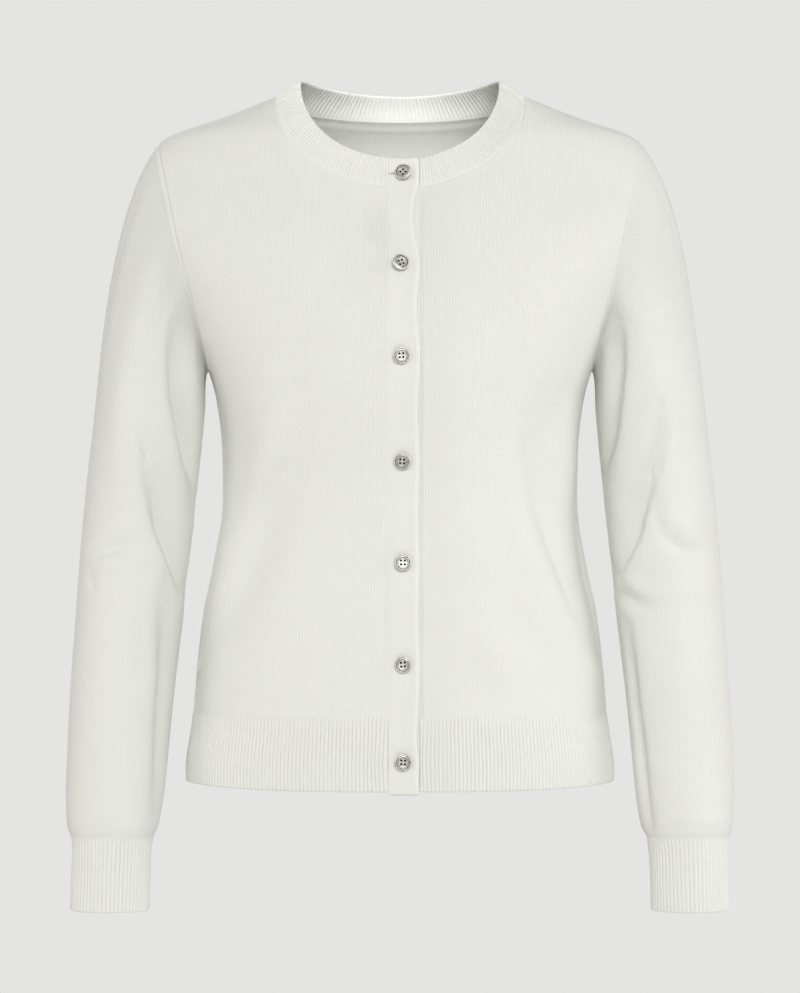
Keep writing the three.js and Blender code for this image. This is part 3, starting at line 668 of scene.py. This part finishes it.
def finish_panel(face, grid, side_sign):
    """Folds, unevenness and seams on half a panel."""
    u, v = arc(grid, 1), arc(grid, 0)
    to_side = u[:, -1:] - u
    to_top = v[-1:] - v
    x = grid[..., 0] * side_sign
    z = grid[..., 2]
    fade = smoothstep(to_side, 0, 14) * smoothstep(to_top, 0, 14) * smoothstep(v, 0, 18)
    depth = face_depth(face, x, z) * fade
    armhole = smoothstep(z, ARMPIT_Z - 4, ARMPIT_Z + 6)
    shows = armhole_seam_shows(z)
    welt = 0.75 * np.exp(-(((to_side - 2.2) / 1.4) ** 2)) * armhole * shows
    depth = depth + seam_dip(to_side) * np.maximum(shows * armhole, 0.4) - welt
    neck = np.arange(grid.shape[1]) <= INSIDE
    line = 0.45 * np.exp(-(((to_top - 7.5) / 1.5) ** 2)) * neck
    depth = depth + seam_dip(to_top, 0.35, 2.0) + line
    if side_sign > 0 and face == "front":  # the left front sinks beside the lifted edge of the band
        depth = depth + (0.3 + 1.3 * lap_lift(z)) * np.exp(-((u / 2.2) ** 2)) * smoothstep(to_top, 0, 8)
    return grid - body_normal(face, grid) * depth[..., None]


def panel_uv(face, grid):
    """Wales run straight up the cloth: u is the girth from the middle at each point's height."""
    x = grid[..., :1] * np.linspace(0, 1, 33)
    level = body_point(face, x, np.broadcast_to(grid[..., 2:], x.shape))
    girth = np.linalg.norm(np.diff(level, axis=-2), axis=-1).sum(axis=-1)
    return np.stack([girth, grid[..., 2]], axis=-1)


def front_panel(side):
    right = side == "right"
    plain = halves["front_" + side]
    outer = finish_panel("front", plain, -1 if right else 1)
    inner = outer - body_normal("front", outer) * KNIT
    uv = panel_uv("front", plain)
    if right:
        outer, inner = mirror(outer), mirror(inner)
    return shell("knit_front_" + side, outer, inner, uv, plain_knit, replaces="front_" + side)


def back_panel():
    plain = halves["back"]
    left = finish_panel("back", plain, 1)
    right = mirror(finish_panel("back", plain, -1))
    outer = np.concatenate([right[:, :0:-1], left], axis=1)
    inner = outer - body_normal("back", outer) * KNIT
    uv = panel_uv("back", plain)
    flipped = uv * np.array([-1.0, 1.0])
    uv = np.concatenate([flipped[:, :0:-1], uv], axis=1)
    return shell("knit_back", outer, inner, uv, plain_knit, replaces="back")


# ---- Ribs ----
def rib_profile(phase):
    """Height of a 1x1 rib, rounded on top with a sharp groove, at a phase of 0 to 1 per rib."""
    part = phase - np.floor(phase)
    return np.sqrt(np.maximum(1 - (2 * part - 1) ** 2, 0))


def hem_half(face, start, inset=no_inset, stray=0.0):
    cols = HEM_RIBS * RIB_COLUMNS
    heights = np.concatenate([np.linspace(HEM_Z, HEM_Z + 3, 5), np.linspace(HEM_Z + 8, HEM_TOP_Z, 11)])
    rows = []
    for z in heights:
        shares = even_shares(face, start, ("z", z), 0, 1, cols)
        rise = HEM_RISE * shares**3 * ((HEM_TOP_Z - z) / (HEM_TOP_Z - HEM_Z))
        rows.append(row_points_at(face, start, z + rise, shares, inset))
    grid = np.array(rows)
    phase = np.broadcast_to(np.arange(cols + 1) / RIB_COLUMNS, grid.shape[:2])
    u = arc(grid, 1)
    z = grid[..., 2]
    # Beside the front bands the ribs are pulled out of line by the lowest button.
    pull = stray * np.exp(-((u / 16) ** 2)) * np.exp(-(((z + 529) / 17) ** 2)) * np.minimum(u / 3, 1)
    grid = grid + xyz(pull, 0 * pull, 0 * pull)
    full = smoothstep(HEM_TOP_Z - z, -0.1, 4.0)
    height = (rib_profile(phase) - RIB_MIDDLE) * RIB_HEIGHT * full
    normal = body_normal(face, grid)
    wobble = 0.25 * np.sin(u / 27 + z / 19) * smoothstep(HEM_TOP_Z - z, 0, 15)
    outer = grid + normal * (height + wobble)[..., None]
    inner = grid - normal * (RIB - 0.25 * height)[..., None]
    return outer, inner, np.stack([u + abs(start), z], axis=-1), grid


def row_points_at(face, start, z, share, inset):
    """A row whose height changes along it."""
    x = lerp(start, body["halfWidth"](z), share)
    return body_point(face, x, z, inset(x))


def hem(face, side=None):
    start = 0.0 if face == "back" else START[side]
    inset = under if side == "left" else no_inset
    stray = {"left": -1.1, "right": 1.3}.get(side, 0.0)
    outer, inner, uv, grid = hem_half(face, start, inset, stray)
    away = (grid[..., 2] - grid[:1, :, 2])
    outer, inner = soften(outer, inner, away, 1.6)
    if face == "back":
        outer, inner = (np.concatenate([mirror(g)[:, :0:-1], g], axis=1) for g in (outer, inner))
        uv = np.concatenate([(uv * np.array([-1.0, 1.0]))[:, :0:-1], uv], axis=1)
        return shell("rib_hem_back", outer, inner, uv, rib_knit, replaces="hem_back")
    if side == "right":
        outer, inner = mirror(outer), mirror(inner)
    name = "hem_front_" + side
    return shell("rib_" + name, outer, inner, uv, rib_knit, replaces=name)


# ---- Neckband ----
def collar_point(face, x):
    c = np.sqrt(np.maximum(1 - (x / COLLAR_X) ** 2, 0))
    rolled = 2.4 * np.exp(-((c / 0.2) ** 2))  # the edge rolls over where front and back meet
    return xyz(x, COLLAR_DEPTH[face] * c, COLLAR_Z - COLLAR_DROP[face] * c ** COLLAR_CURVE[face] - rolled)


def band_point(seam, edge, up, outward):
    up = np.asarray(up)[..., None]
    return lerp(seam, edge, up) + outward * (BAND_BULGE * np.sin(math.pi * up))


def neck_half(face, start, inset=no_inset):
    """The neckband over one half neckline, from the middle to the shoulder: seam, free edge and normals."""
    cols = NECK_RIBS[face] * RIB_COLUMNS
    corner = (NECK_X - start) / (SHOULDER_X - start)
    shares = even_shares(face, start, ("up", 1.0), 0, corner, cols)
    seam = row_points(face, start, ("up", 1.0), shares, inset)
    outward = body_normal(face, seam)
    outward[-1] = unit(outward[-1] * np.array([1.0, 0.0, 1.0]))
    seam[-1, 1] = 0
    x = start + (COLLAR_X - start) * (seam[:, 0] - start) / (NECK_X - start)
    edge = collar_point(face, x) - outward * inset(seam[:, 0])[:, None]
    edge[-1, 1] = 0
    return seam, edge, outward


def neckband():
    left = neck_half("front", START["left"], under)
    right = [mirror(g) for g in neck_half("front", START["right"])]
    back = neck_half("back", 0.0)
    parts = [left, [g[-2::-1] for g in back], [mirror(g)[1:-1] for g in back], [g[::-1] for g in right]]
    seam, edge, outward = (np.concatenate([p[k] for p in parts]) for k in range(3))
    ups = np.concatenate([np.linspace(0, 0.1, 3), np.linspace(0.2, 0.9, 7), np.linspace(0.94, 1, 4)])
    grid = np.array([band_point(seam, edge, np.full(len(seam), up), outward) for up in ups])
    normal = grid_normals(grid, False, np.broadcast_to(outward, grid.shape))
    normal = np.where(ups[:, None, None] < 0.03, outward[None], normal)
    phase = np.arange(len(seam)) / RIB_COLUMNS
    v = arc(grid, 0)
    to_edge = v[-1:] - v
    ends = NECK_RIB_HEIGHT * smoothstep(v, 1.2, 3.2) * smoothstep(to_edge, 0.2, 1.8)
    height = (rib_profile(phase)[None] - RIB_MIDDLE) * ends
    # A line of linking runs round the band, near its seam.
    line = 0.45 * np.exp(-(((v - 6.4) / 0.9) ** 2))
    height = height - seam_dip(v, 0.35, 1.5) - line
    outer = grid + normal * height[..., None]
    inside = (rib_profile(phase + 0.5)[None] - RIB_MIDDLE) * ends
    inner = grid - normal * (RIB + inside)[..., None]
    outer, inner = soften(outer, inner, to_edge, 1.5)
    uv = np.stack([np.broadcast_to(arc(grid[:1], 1), grid.shape[:2]), v], axis=-1)
    return shell("rib_neckband", outer, inner, uv, rib_knit, replaces="neckband")


# ---- Front bands ----
lap_in, lap_lift = column(LAP, "inward"), column(LAP, "lift")


def band_rows(bottom, inner_x, outer_x):
    """Points of a front band from the hem to the neckband's free edge, and its outward normals."""
    cols = 17
    share = (1 - np.cos(np.linspace(0, math.pi, cols))) / 2
    rows = []
    for up in np.linspace(0, 1, 230):
        z_mid = lerp(bottom, NECK_Z - NECK_DROP["front"], up)
        x = lerp(inner_x(z_mid), outer_x(z_mid), share)
        rows.append(body_point("front", x, lerp(bottom, top_edge_z("front", x), up)))
    for up in np.linspace(0, 1, 13)[1:]:
        z_mid = lerp(NECK_Z - NECK_DROP["front"], COLLAR_Z - COLLAR_DROP["front"], up)
        x = lerp(inner_x(z_mid), outer_x(z_mid), share)
        seam = body_point("front", x, top_edge_z("front", x))
        rows.append(band_point(seam, collar_point("front", x), np.full(cols, up), body_normal("front", seam)))
    grid = np.array(rows)
    normal = grid_normals(grid, False, xyz(0, -1.0, 0.3))
    return grid, normal


def front_band(name, drop, bottom, upper):
    if upper:
        grid, normal = band_rows(bottom, lambda z: BAND_INNER, lambda z: BAND_OUTER - lap_in(z))
    else:
        grid, normal = band_rows(bottom, lambda z: BAND_INNER, lambda z: BAND_OUTER)
    u, v = arc(grid, 1), arc(grid, 0)
    x, z = grid[..., 0], grid[..., 2]
    seam_z = top_edge_z("front", x)
    lift = -face_depth("front", x, z) * smoothstep(seam_z - z, 0, 14) * smoothstep(z - HEM_TOP_Z, 0, 18)
    if upper:
        toward = np.clip((x - BAND_INNER) / (BAND_OUTER - BAND_INNER), 0, 1)
        more = 1.5 * lap_lift(z) * toward**1.5 + 0.7 * np.exp(-(((u[:, -1:] - u - 3.2) / 2.2) ** 2))
        for b in BUTTONS:  # each button draws the band in a little round itself
            r2 = (x - b["x"]) ** 2 + (z - b["z"]) ** 2
            more = more - 0.6 * np.exp(-r2 / 70) + 0.3 * np.exp(-((np.sqrt(r2) - 14) ** 2) / 30)
        lift = lift + more * smoothstep(x, BAND_INNER, BAND_INNER + 4)
    outer = grid + normal * (lift - drop)[..., None]
    inner = grid - normal * (drop + PLACKET - 0.6 * lift)[..., None]
    if upper:
        outer, inner = soften(outer, inner, u[:, -1:] - u, 2.2, 0.05)
    outer, inner = soften(outer, inner, v, 1.5, 0.1)
    outer, inner = soften(outer, inner, v[-1:] - v, 1.5, 0.1)
    uv = np.stack([x, z], axis=-1)
    return shell("knit_" + name, outer, inner, uv, band_knit, replaces=name)


# ---- Sleeves ----
sleeve = {name: column(SLEEVE, name) for name in ("x", "y", "halfWidth", "halfDepth")}
AROUND = 2 * ROWS_HIGH
SLEEVE_TOP_Z = SLEEVE[0]["z"]
CAP_RINGS, LOW_RINGS = 84, 130
SLEEVE_DEGREE = 45 * math.pi / 180  # one degree round a sleeve, in millimetres
CUFF_RADIUS = 29


def sleeve_ring(z, around=AROUND):
    turn = 2 * math.pi * np.arange(around) / around
    return xyz(
        sleeve["x"](z) + sleeve["halfWidth"](z) * np.cos(turn),
        sleeve["y"](z) - sleeve["halfDepth"](z) * np.sin(turn),
        z,
    )


def sleeve_grid():
    def edge(grid):
        return grid[ROWS_LOW:, -1][::-1].copy()

    front, back = edge(halves["front_right"]), edge(halves["back"])
    front[0, 1] = front[-1, 1] = 0
    loop = np.concatenate([front, back[1:-1][::-1]])
    normals = np.where(loop[:, 1:2] <= 0, body_normal("front", loop), body_normal("back", loop))
    ends = np.abs(loop[:, 1]) < 1e-9
    normals[ends] = unit(normals[ends] * np.array([1.0, 0.0, 1.0]))
    turn = np.arange(AROUND) / AROUND
    cap = {name: column(CAP, name, "turn")(turn) for name in ("follow", "start", "end")}
    target, below = sleeve_ring(SLEEVE_TOP_Z), sleeve_ring(SLEEVE_TOP_Z - 10)
    seam = np.roll(loop, -1, axis=0) - np.roll(loop, 1, axis=0)
    out = unit(np.cross(seam, normals))
    out = np.where(out[:, :1] < 0, -out, out)
    starts = unit(lerp(out, unit(target - loop), cap["follow"][:, None]))
    # At the underarm the sleeve leaves the body outwards and a little up.
    armpit = np.exp(-(((turn - 0.5) * AROUND / 6.0) ** 2))[:, None]
    starts = unit(lerp(starts, np.array([0.9, 0.0, 0.45]), armpit))
    down = unit(below - target)
    rings = []
    for t in np.linspace(0, 1, CAP_RINGS + 1) ** 1.35:
        h = [(1 + 2 * t) * (1 - t) ** 2, t * (1 - t) ** 2, t * t * (3 - 2 * t), t * t * (t - 1)]
        rings.append(
            h[0] * loop
            + h[1] * cap["start"][:, None] * starts
            + h[2] * target
            + h[3] * cap["end"][:, None] * down
        )
    for z in np.linspace(SLEEVE_TOP_Z, CUFF_TOP_Z, LOW_RINGS + 1)[1:]:
        rings.append(sleeve_ring(z))
    return np.array(rings), normals


def sleeve_shell(side):
    plain, start_normals = sleeve_grid()
    middle = plain.mean(axis=1, keepdims=True)
    around = grid_normals(plain, True, plain - middle)
    degrees = np.broadcast_to(360 * np.arange(AROUND) / AROUND, plain.shape[:2])
    z = plain[..., 2]
    v = arc(plain, 0)
    name = "sleeve_" + side
    depth = fold_depth(name, degrees, z, SLEEVE_DEGREE)
    seed = 1.2 if side == "right" else 3.4
    depth = depth + waviness(degrees * SLEEVE_DEGREE, z, seed)
    # Beside the seam the sleeve head stands up a little, and then dips into the linking.
    depth = depth * smoothstep(v, 0, 12) * smoothstep(z - CUFF_TOP_Z, 0, 9)
    head = 0.3 * np.exp(-(((v - 4.2) / 1.8) ** 2))
    depth = depth + (seam_dip(v, 1.1, 1.5) - head) * armhole_seam_shows(z)
    # Fashioning marks: a row of small dents where stitches were taken in, near the underarm.
    low = smoothstep(-z, 150, 172) * (1 - smoothstep(-z, 214, 226))
    marks = np.exp(-(((v - 6.5) / 2.2) ** 2)) * (0.5 + 0.5 * np.cos(2 * math.pi * z / 6.0)) * low
    depth = depth + 0.9 * marks
    outer = plain - around * depth[..., None]
    inner = outer - around * KNIT
    inner[0] = outer[0] - start_normals * KNIT
    ring = np.linalg.norm(np.roll(plain, -1, axis=1) - plain, axis=-1)
    there = np.concatenate([np.zeros((len(plain), 1)), np.cumsum(ring, axis=1)[:, :-1]], axis=1)
    total = ring.sum(axis=1, keepdims=True)
    uv = np.stack([np.minimum(there, total - there), -v], axis=-1)
    if side == "right":
        outer, inner = mirror(outer), mirror(inner)
    return shell("knit_" + name, outer, inner, uv, plain_knit, closed=True, replaces=name)


def cuff(side):
    around = CUFF_RIBS * RIB_COLUMNS
    heights = np.concatenate([np.linspace(CUFF_Z, CUFF_Z + 3, 5), np.linspace(CUFF_Z + 7, CUFF_TOP_Z, 12)])
    grid = np.array([sleeve_ring(z, around) for z in heights])
    turn = 2 * math.pi * np.arange(around) / around
    normal = np.broadcast_to(unit(xyz(np.cos(turn), -np.sin(turn), 0)), grid.shape)
    phase = np.arange(around) / RIB_COLUMNS
    z = grid[..., 2]
    height = (rib_profile(phase)[None] - RIB_MIDDLE) * RIB_HEIGHT * smoothstep(CUFF_TOP_Z - z, -0.1, 4.0)
    wobble = 0.3 * np.sin(2 * turn + z / 13 + (0 if side == "right" else 2))
    wobble = wobble * smoothstep(CUFF_TOP_Z - z, 0, 12)
    outer = grid + normal * (height + wobble)[..., None]
    inner = grid - normal * (RIB - 0.25 * height)[..., None]
    outer, inner = soften(outer, inner, z - CUFF_Z, 1.6)
    uv = np.stack([np.broadcast_to(turn * CUFF_RADIUS, z.shape), z], axis=-1)
    if side == "right":
        outer, inner = mirror(outer), mirror(inner)
    name = "cuff_" + side
    return shell("rib_" + name, outer, inner, uv, rib_knit, closed=True, replaces=name)


# ---- Buttons ----
# A button's section, from the middle of its back, round the rim, to the middle of its face.
BUTTON_PROFILE = [
    (0.0, 0.0), (4.2, 0.02), (5.6, 0.22), (6.2, 0.6), (6.48, 1.0), (6.5, 1.35), (6.42, 1.68), (6.2, 1.93),
    (5.9, 2.06), (5.6, 2.04), (5.38, 1.9), (5.26, 1.62), (5.15, 1.5), (4.9, 1.56), (4.62, 1.68), (4.4, 1.7),
    (4.2, 1.6), (4.08, 1.38), (3.95, 1.22), (3.7, 1.16), (3.2, 1.12), (1.6, 1.1), (0.0, 1.1),
]  # fmt: skip
GROOVES = (5.38, 5.26, 5.15, 4.2, 4.08)  # radii where tarnish fills the moulding
BUTTON_SIDES = 56


def button_mesh():
    mesh = bpy.data.meshes.new("button")
    turns = 2 * math.pi * np.arange(BUTTON_SIDES) / BUTTON_SIDES
    points, faces, rings, dark = [], [], [], []
    for r, h in BUTTON_PROFILE:
        if r == 0:
            rings.append([len(points)])
            points.append((0, 0, h * MM))
        else:
            rings.append(list(range(len(points), len(points) + BUTTON_SIDES)))
            points += [(r * math.cos(t) * MM, r * math.sin(t) * MM, h * MM) for t in turns]
    for (r, _), low, high in zip(BUTTON_PROFILE, rings[:-1], rings[1:]):
        dark += [r in GROOVES] * BUTTON_SIDES
        for k in range(BUTTON_SIDES):
            j = (k + 1) % BUTTON_SIDES
            if len(low) == 1:
                faces.append((low[0], high[j], high[k]))
            elif len(high) == 1:
                faces.append((low[k], low[j], high[0]))
            else:
                faces.append((low[k], low[j], high[j], high[k]))
    mesh.from_pydata(points, [], faces)
    mesh.polygons.foreach_set("material_index", np.array(dark, np.int32))
    mesh.update()
    return mesh


def holed_button():
    """The button with its four holes cut, as one mesh that every button shares the shape of."""
    disc = new_object("button_blank", button_mesh())
    holes = []
    for x in (-1.45, 1.45):
        for y in (-1.45, 1.45):
            bpy.ops.mesh.primitive_cylinder_add(
                vertices=20, radius=0.95 * MM, depth=4 * MM, location=(x * MM, y * MM, 2.3 * MM)
            )
            cutter = bpy.context.object
            # The holes' walls take the near-black material: painted shade in the holes.
            cutter.data.polygons.foreach_set("material_index", np.ones(len(cutter.data.polygons), np.int32))
            holes.append(cutter)
    for obj in [disc] + holes:
        for metal in (silver, tarnish_and_hole_shade):
            obj.data.materials.append(metal)
    for cutter in holes:
        cut = disc.modifiers.new("hole", "BOOLEAN")
        cut.operation, cut.solver, cut.object = "DIFFERENCE", "EXACT", cutter
    bpy.context.view_layer.update()
    made = bpy.data.meshes.new_from_object(disc.evaluated_get(bpy.context.evaluated_depsgraph_get()))
    for obj in [disc] + holes:
        bpy.data.objects.remove(obj)
    smooth(made)
    made.set_sharp_from_angle(angle=math.radians(40))
    return made


def surface_at(x, z):
    """The upper band's surface at a place, and its normal."""
    x = np.array([float(x)])
    seam = body_point("front", x, top_edge_z("front", x))
    if z <= seam[0, 2]:
        p = body_point("front", x, np.array([float(z)]))
        return p[0], body_normal("front", p)[0]
    edge = collar_point("front", x)
    up = (z - seam[0, 2]) / (edge[0, 2] - seam[0, 2])
    p = band_point(seam, edge, np.array([up]), body_normal("front", seam))
    normal = unit(np.cross(np.array([1.0, 0, 0]), unit(edge - seam)[0]))
    return p[0], normal if normal[1] < 0 else -normal


def button_frame(b):
    place, normal = surface_at(b["x"], b["z"])
    turn = Vector((0, 0, 1)).rotation_difference(Vector(normal)).to_matrix().to_4x4()
    lean = (
        Matrix.Rotation(math.radians(b["nod"]), 4, "X")
        @ Matrix.Rotation(math.radians(b["tilt"]), 4, "Y")
        @ Matrix.Rotation(math.radians(b["spin"]), 4, "Z")
    )
    centre = Vector(place + normal * (BUTTON_LIFT + b["lift"])) * MM
    return Matrix.Translation(centre) @ turn @ lean


def beads():
    """The worn beading round a button's rim, as one small mesh."""
    mesh = bpy.data.meshes.new("beads")
    points, faces = [], []
    count = 44
    for k in range(count):
        t = 2 * math.pi * k / count
        c = np.array([5.52 * math.cos(t), 5.52 * math.sin(t), 1.98])
        base = len(points)
        for ring, (r, h) in enumerate(((0.34, 0.0), (0.25, 0.16), (0.0, 0.24))):
            for j in range(6 if r else 1):
                a = 2 * math.pi * j / 6
                points.append(tuple((c + np.array([r * math.cos(a), r * math.sin(a), h])) * MM))
        for j in range(6):
            i = (j + 1) % 6
            faces.append((base + j, base + i, base + 6 + i, base + 6 + j))
            faces.append((base + 6 + j, base + 6 + i, base + 12))
        faces.append(tuple(base + 5 - j for j in range(6)))
    mesh.from_pydata(points, [], faces)
    smooth(mesh)
    mesh.materials.append(silver)
    return mesh


def tube(name, path, radius, material, closed=False):
    """A thread along a path in millimetres."""
    curve = bpy.data.curves.new(name, "CURVE")
    curve.dimensions = "3D"
    curve.bevel_depth = radius * MM
    curve.bevel_resolution = 2
    spline = curve.splines.new("POLY")
    spline.points.add(len(path) - 1)
    for point, p in zip(spline.points, path):
        point.co = (p[0] * MM, p[1] * MM, p[2] * MM, 1)
    spline.use_cyclic_u = closed
    obj = new_object(name, curve)
    mesh = bpy.data.meshes.new_from_object(obj.evaluated_get(bpy.context.evaluated_depsgraph_get()))
    bpy.data.objects.remove(obj)
    smooth(mesh)
    mesh.materials.clear()
    mesh.materials.append(material)
    made = new_object(name, mesh)
    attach(made, "root")
    return made


def thread_material(name, dark, light):
    mat, shade_with, add, ramp = material_tree(name)
    noise = add("TexNoise", {"Scale": 1500.0})["Fac"]
    shade_with({
        "Roughness": 0.75,
        "Sheen Weight": 0.2,
        "Base Color": ramp(noise, (0, dark), (1, light)),
        "Normal": add("Bump", {"Distance": 0.0001, "Height": noise})[0],
    })
    return mat


thread = thread_material("ivory_thread", (0.6, 0.59, 0.53, 1), (0.82, 0.81, 0.76, 1))
# A dark thread along each buttonhole's opening: painted shadow.
shadow_knit = thread_material("painted_slit_shadow", (0.2, 0.19, 0.17, 1), (0.3, 0.29, 0.26, 1))


def buttons():
    shape, bead = holed_button(), beads()
    for i, b in enumerate(BUTTONS, 1):
        matrix = button_frame(b)
        for kind, source in (("button", shape), ("beading", bead)):
            mesh = source.copy()
            mesh.transform(matrix)
            obj = new_object(f"silver_{kind}_{i}", mesh)
            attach(obj, "root")
            if kind == "button":
                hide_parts(f"button_{i}")
        # The sewing thread: a short shank under the button, down through the buttonhole to the lower band.
        place, normal = surface_at(b["x"], b["z"])
        path = [place + normal * h for h in (BUTTON_LIFT + b["lift"] + 0.1, 0.2, -1.5, -4.0)]
        tube(f"shank_{i}", path, 0.8, thread)


def buttonholes():
    """A bound buttonhole across the upper band under each button, with a dark line along its opening that is
    painted shadow. The top button has slid to its buttonhole's end.
    """
    for i, b in enumerate(BUTTONS, 1):
        low, high = (-8.9, 3.5) if i == 1 else (b["x"] - 5.6, b["x"] + 5.0)
        path = []
        for k in range(28):
            t = 2 * math.pi * k / 28
            x = (low + high) / 2 - (high - low) / 2 * math.copysign(abs(math.cos(t)) ** 0.8, math.cos(t))
            z = b["z"] + 0.7 * math.copysign(abs(math.sin(t)) ** 0.9, math.sin(t))
            p, normal = surface_at(x, z)
            path.append(p + normal * 0.12)
        tube(f"buttonhole_{i}", path, 0.42, thread, closed=True)
        # A dark thread along the opening: painted shadow.
        slit_shadow = [surface_at(x, b["z"]) for x in np.linspace(low + 0.5, high - 0.5, 9)]
        tube(f"slit_{i}", [p + n * 0.02 for p, n in slit_shadow], 0.28, shadow_knit)


# ---- Build ----
back_panel()
for side in ("right", "left"):
    front_panel(side)
    sleeve_shell(side)
    cuff(side)
    hem("front", side)
hem("back")
neckband()
front_band("buttonhole_band", 0.0, HEM_Z - LAP_DROP, True)
front_band("button_band", PLY_STEP, HEM_Z, False)
buttons()
buttonholes()

# ---- Stage, light and camera ----
scene = bpy.context.scene
scene.view_settings.view_transform = "Standard"

floor_mesh = bpy.data.meshes.new("floor")
FLOOR_RADIUS, FLOOR_Z, FLOOR_SIDES = 3.0, -1.45, 96  # metres
turns = [2 * math.pi * k / FLOOR_SIDES for k in range(FLOOR_SIDES)]
ring = [(FLOOR_RADIUS * math.cos(t), FLOOR_RADIUS * math.sin(t), FLOOR_Z) for t in turns]
floor_mesh.from_pydata(ring, [], [tuple(range(FLOOR_SIDES))])
floor = new_object("floor", floor_mesh)
floor_mat = bpy.data.materials.new("pale_floor")
floor_mat.use_nodes = True
floor_shader = floor_mat.node_tree.nodes["Principled BSDF"]
floor_shader.inputs["Base Color"].default_value = (0.80, 0.80, 0.79, 1)
floor_shader.inputs["Roughness"].default_value = 0.9
floor_mesh.materials.append(floor_mat)

world = bpy.data.worlds.new("studio")
world.use_nodes = True
links = world.node_tree.links
softbox = world.node_tree.nodes["Background"]  # the soft light from all round
softbox.inputs["Color"].default_value = (1.0, 0.98, 0.93, 1)
softbox.inputs["Strength"].default_value = 0.40
paper = world.node_tree.nodes.new("ShaderNodeBackground")  # the pale paper behind
paper.inputs["Color"].default_value = (0.776, 0.776, 0.761, 1)
seen = world.node_tree.nodes.new("ShaderNodeLightPath").outputs["Is Camera Ray"]
mix = world.node_tree.nodes.new("ShaderNodeMixShader")
links.new(seen, mix.inputs["Fac"])
links.new(softbox.outputs[0], mix.inputs[1])
links.new(paper.outputs[0], mix.inputs[2])
links.new(mix.outputs[0], world.node_tree.nodes["World Output"].inputs["Surface"])
scene.world = world


def aimed_lamp(name, kind, place, aim, power):
    lamp = bpy.data.lights.new(name, kind)
    lamp.energy = power
    obj = new_object(name, lamp)
    obj.location = place
    obj.rotation_euler = (Vector(aim) - Vector(place)).to_track_quat("-Z", "Y").to_euler()
    return lamp


def area_light(name, place, size, power):
    lamp = aimed_lamp(name, "AREA", place, (0, 0, -0.33), power)
    lamp.shape = "RECTANGLE"
    lamp.size, lamp.size_y = size
    return lamp


area_light("front", (0.5, -3.2, 1.0), (1.6, 1.0), 58).color = (0.985, 0.995, 1.0)
area_light("left", (-2.2, -2.4, 0.6), (1.2, 1.4), 9)
area_light("right_side", (2.8, -0.4, 0.1), (1.0, 1.6), 20)
area_light("left_side", (-2.8, -0.4, 0.1), (1.0, 1.6), 11)
area_light("back", (-0.7, 3.0, 0.9), (1.2, 0.9), 54)

# A small soft lamp that looks down through the neck, onto the inside of the back.
neck_lamp = aimed_lamp("neck_lamp", "SPOT", (0.0, -1.6, 1.0), (0, 0.055, -0.03), 78)
neck_lamp.spot_size = math.radians(4.9)
neck_lamp.spot_blend = 0.6
neck_lamp.shadow_soft_size = 0.05

camera_data = bpy.data.cameras.new("camera")
camera_data.sensor_width = 36.0
camera_data.lens = 156.0
camera = new_object("camera", camera_data)
camera.location = (0.0, -3.4, -0.3251)
camera.rotation_euler = (math.pi / 2, 0, 0)
scene.camera = camera
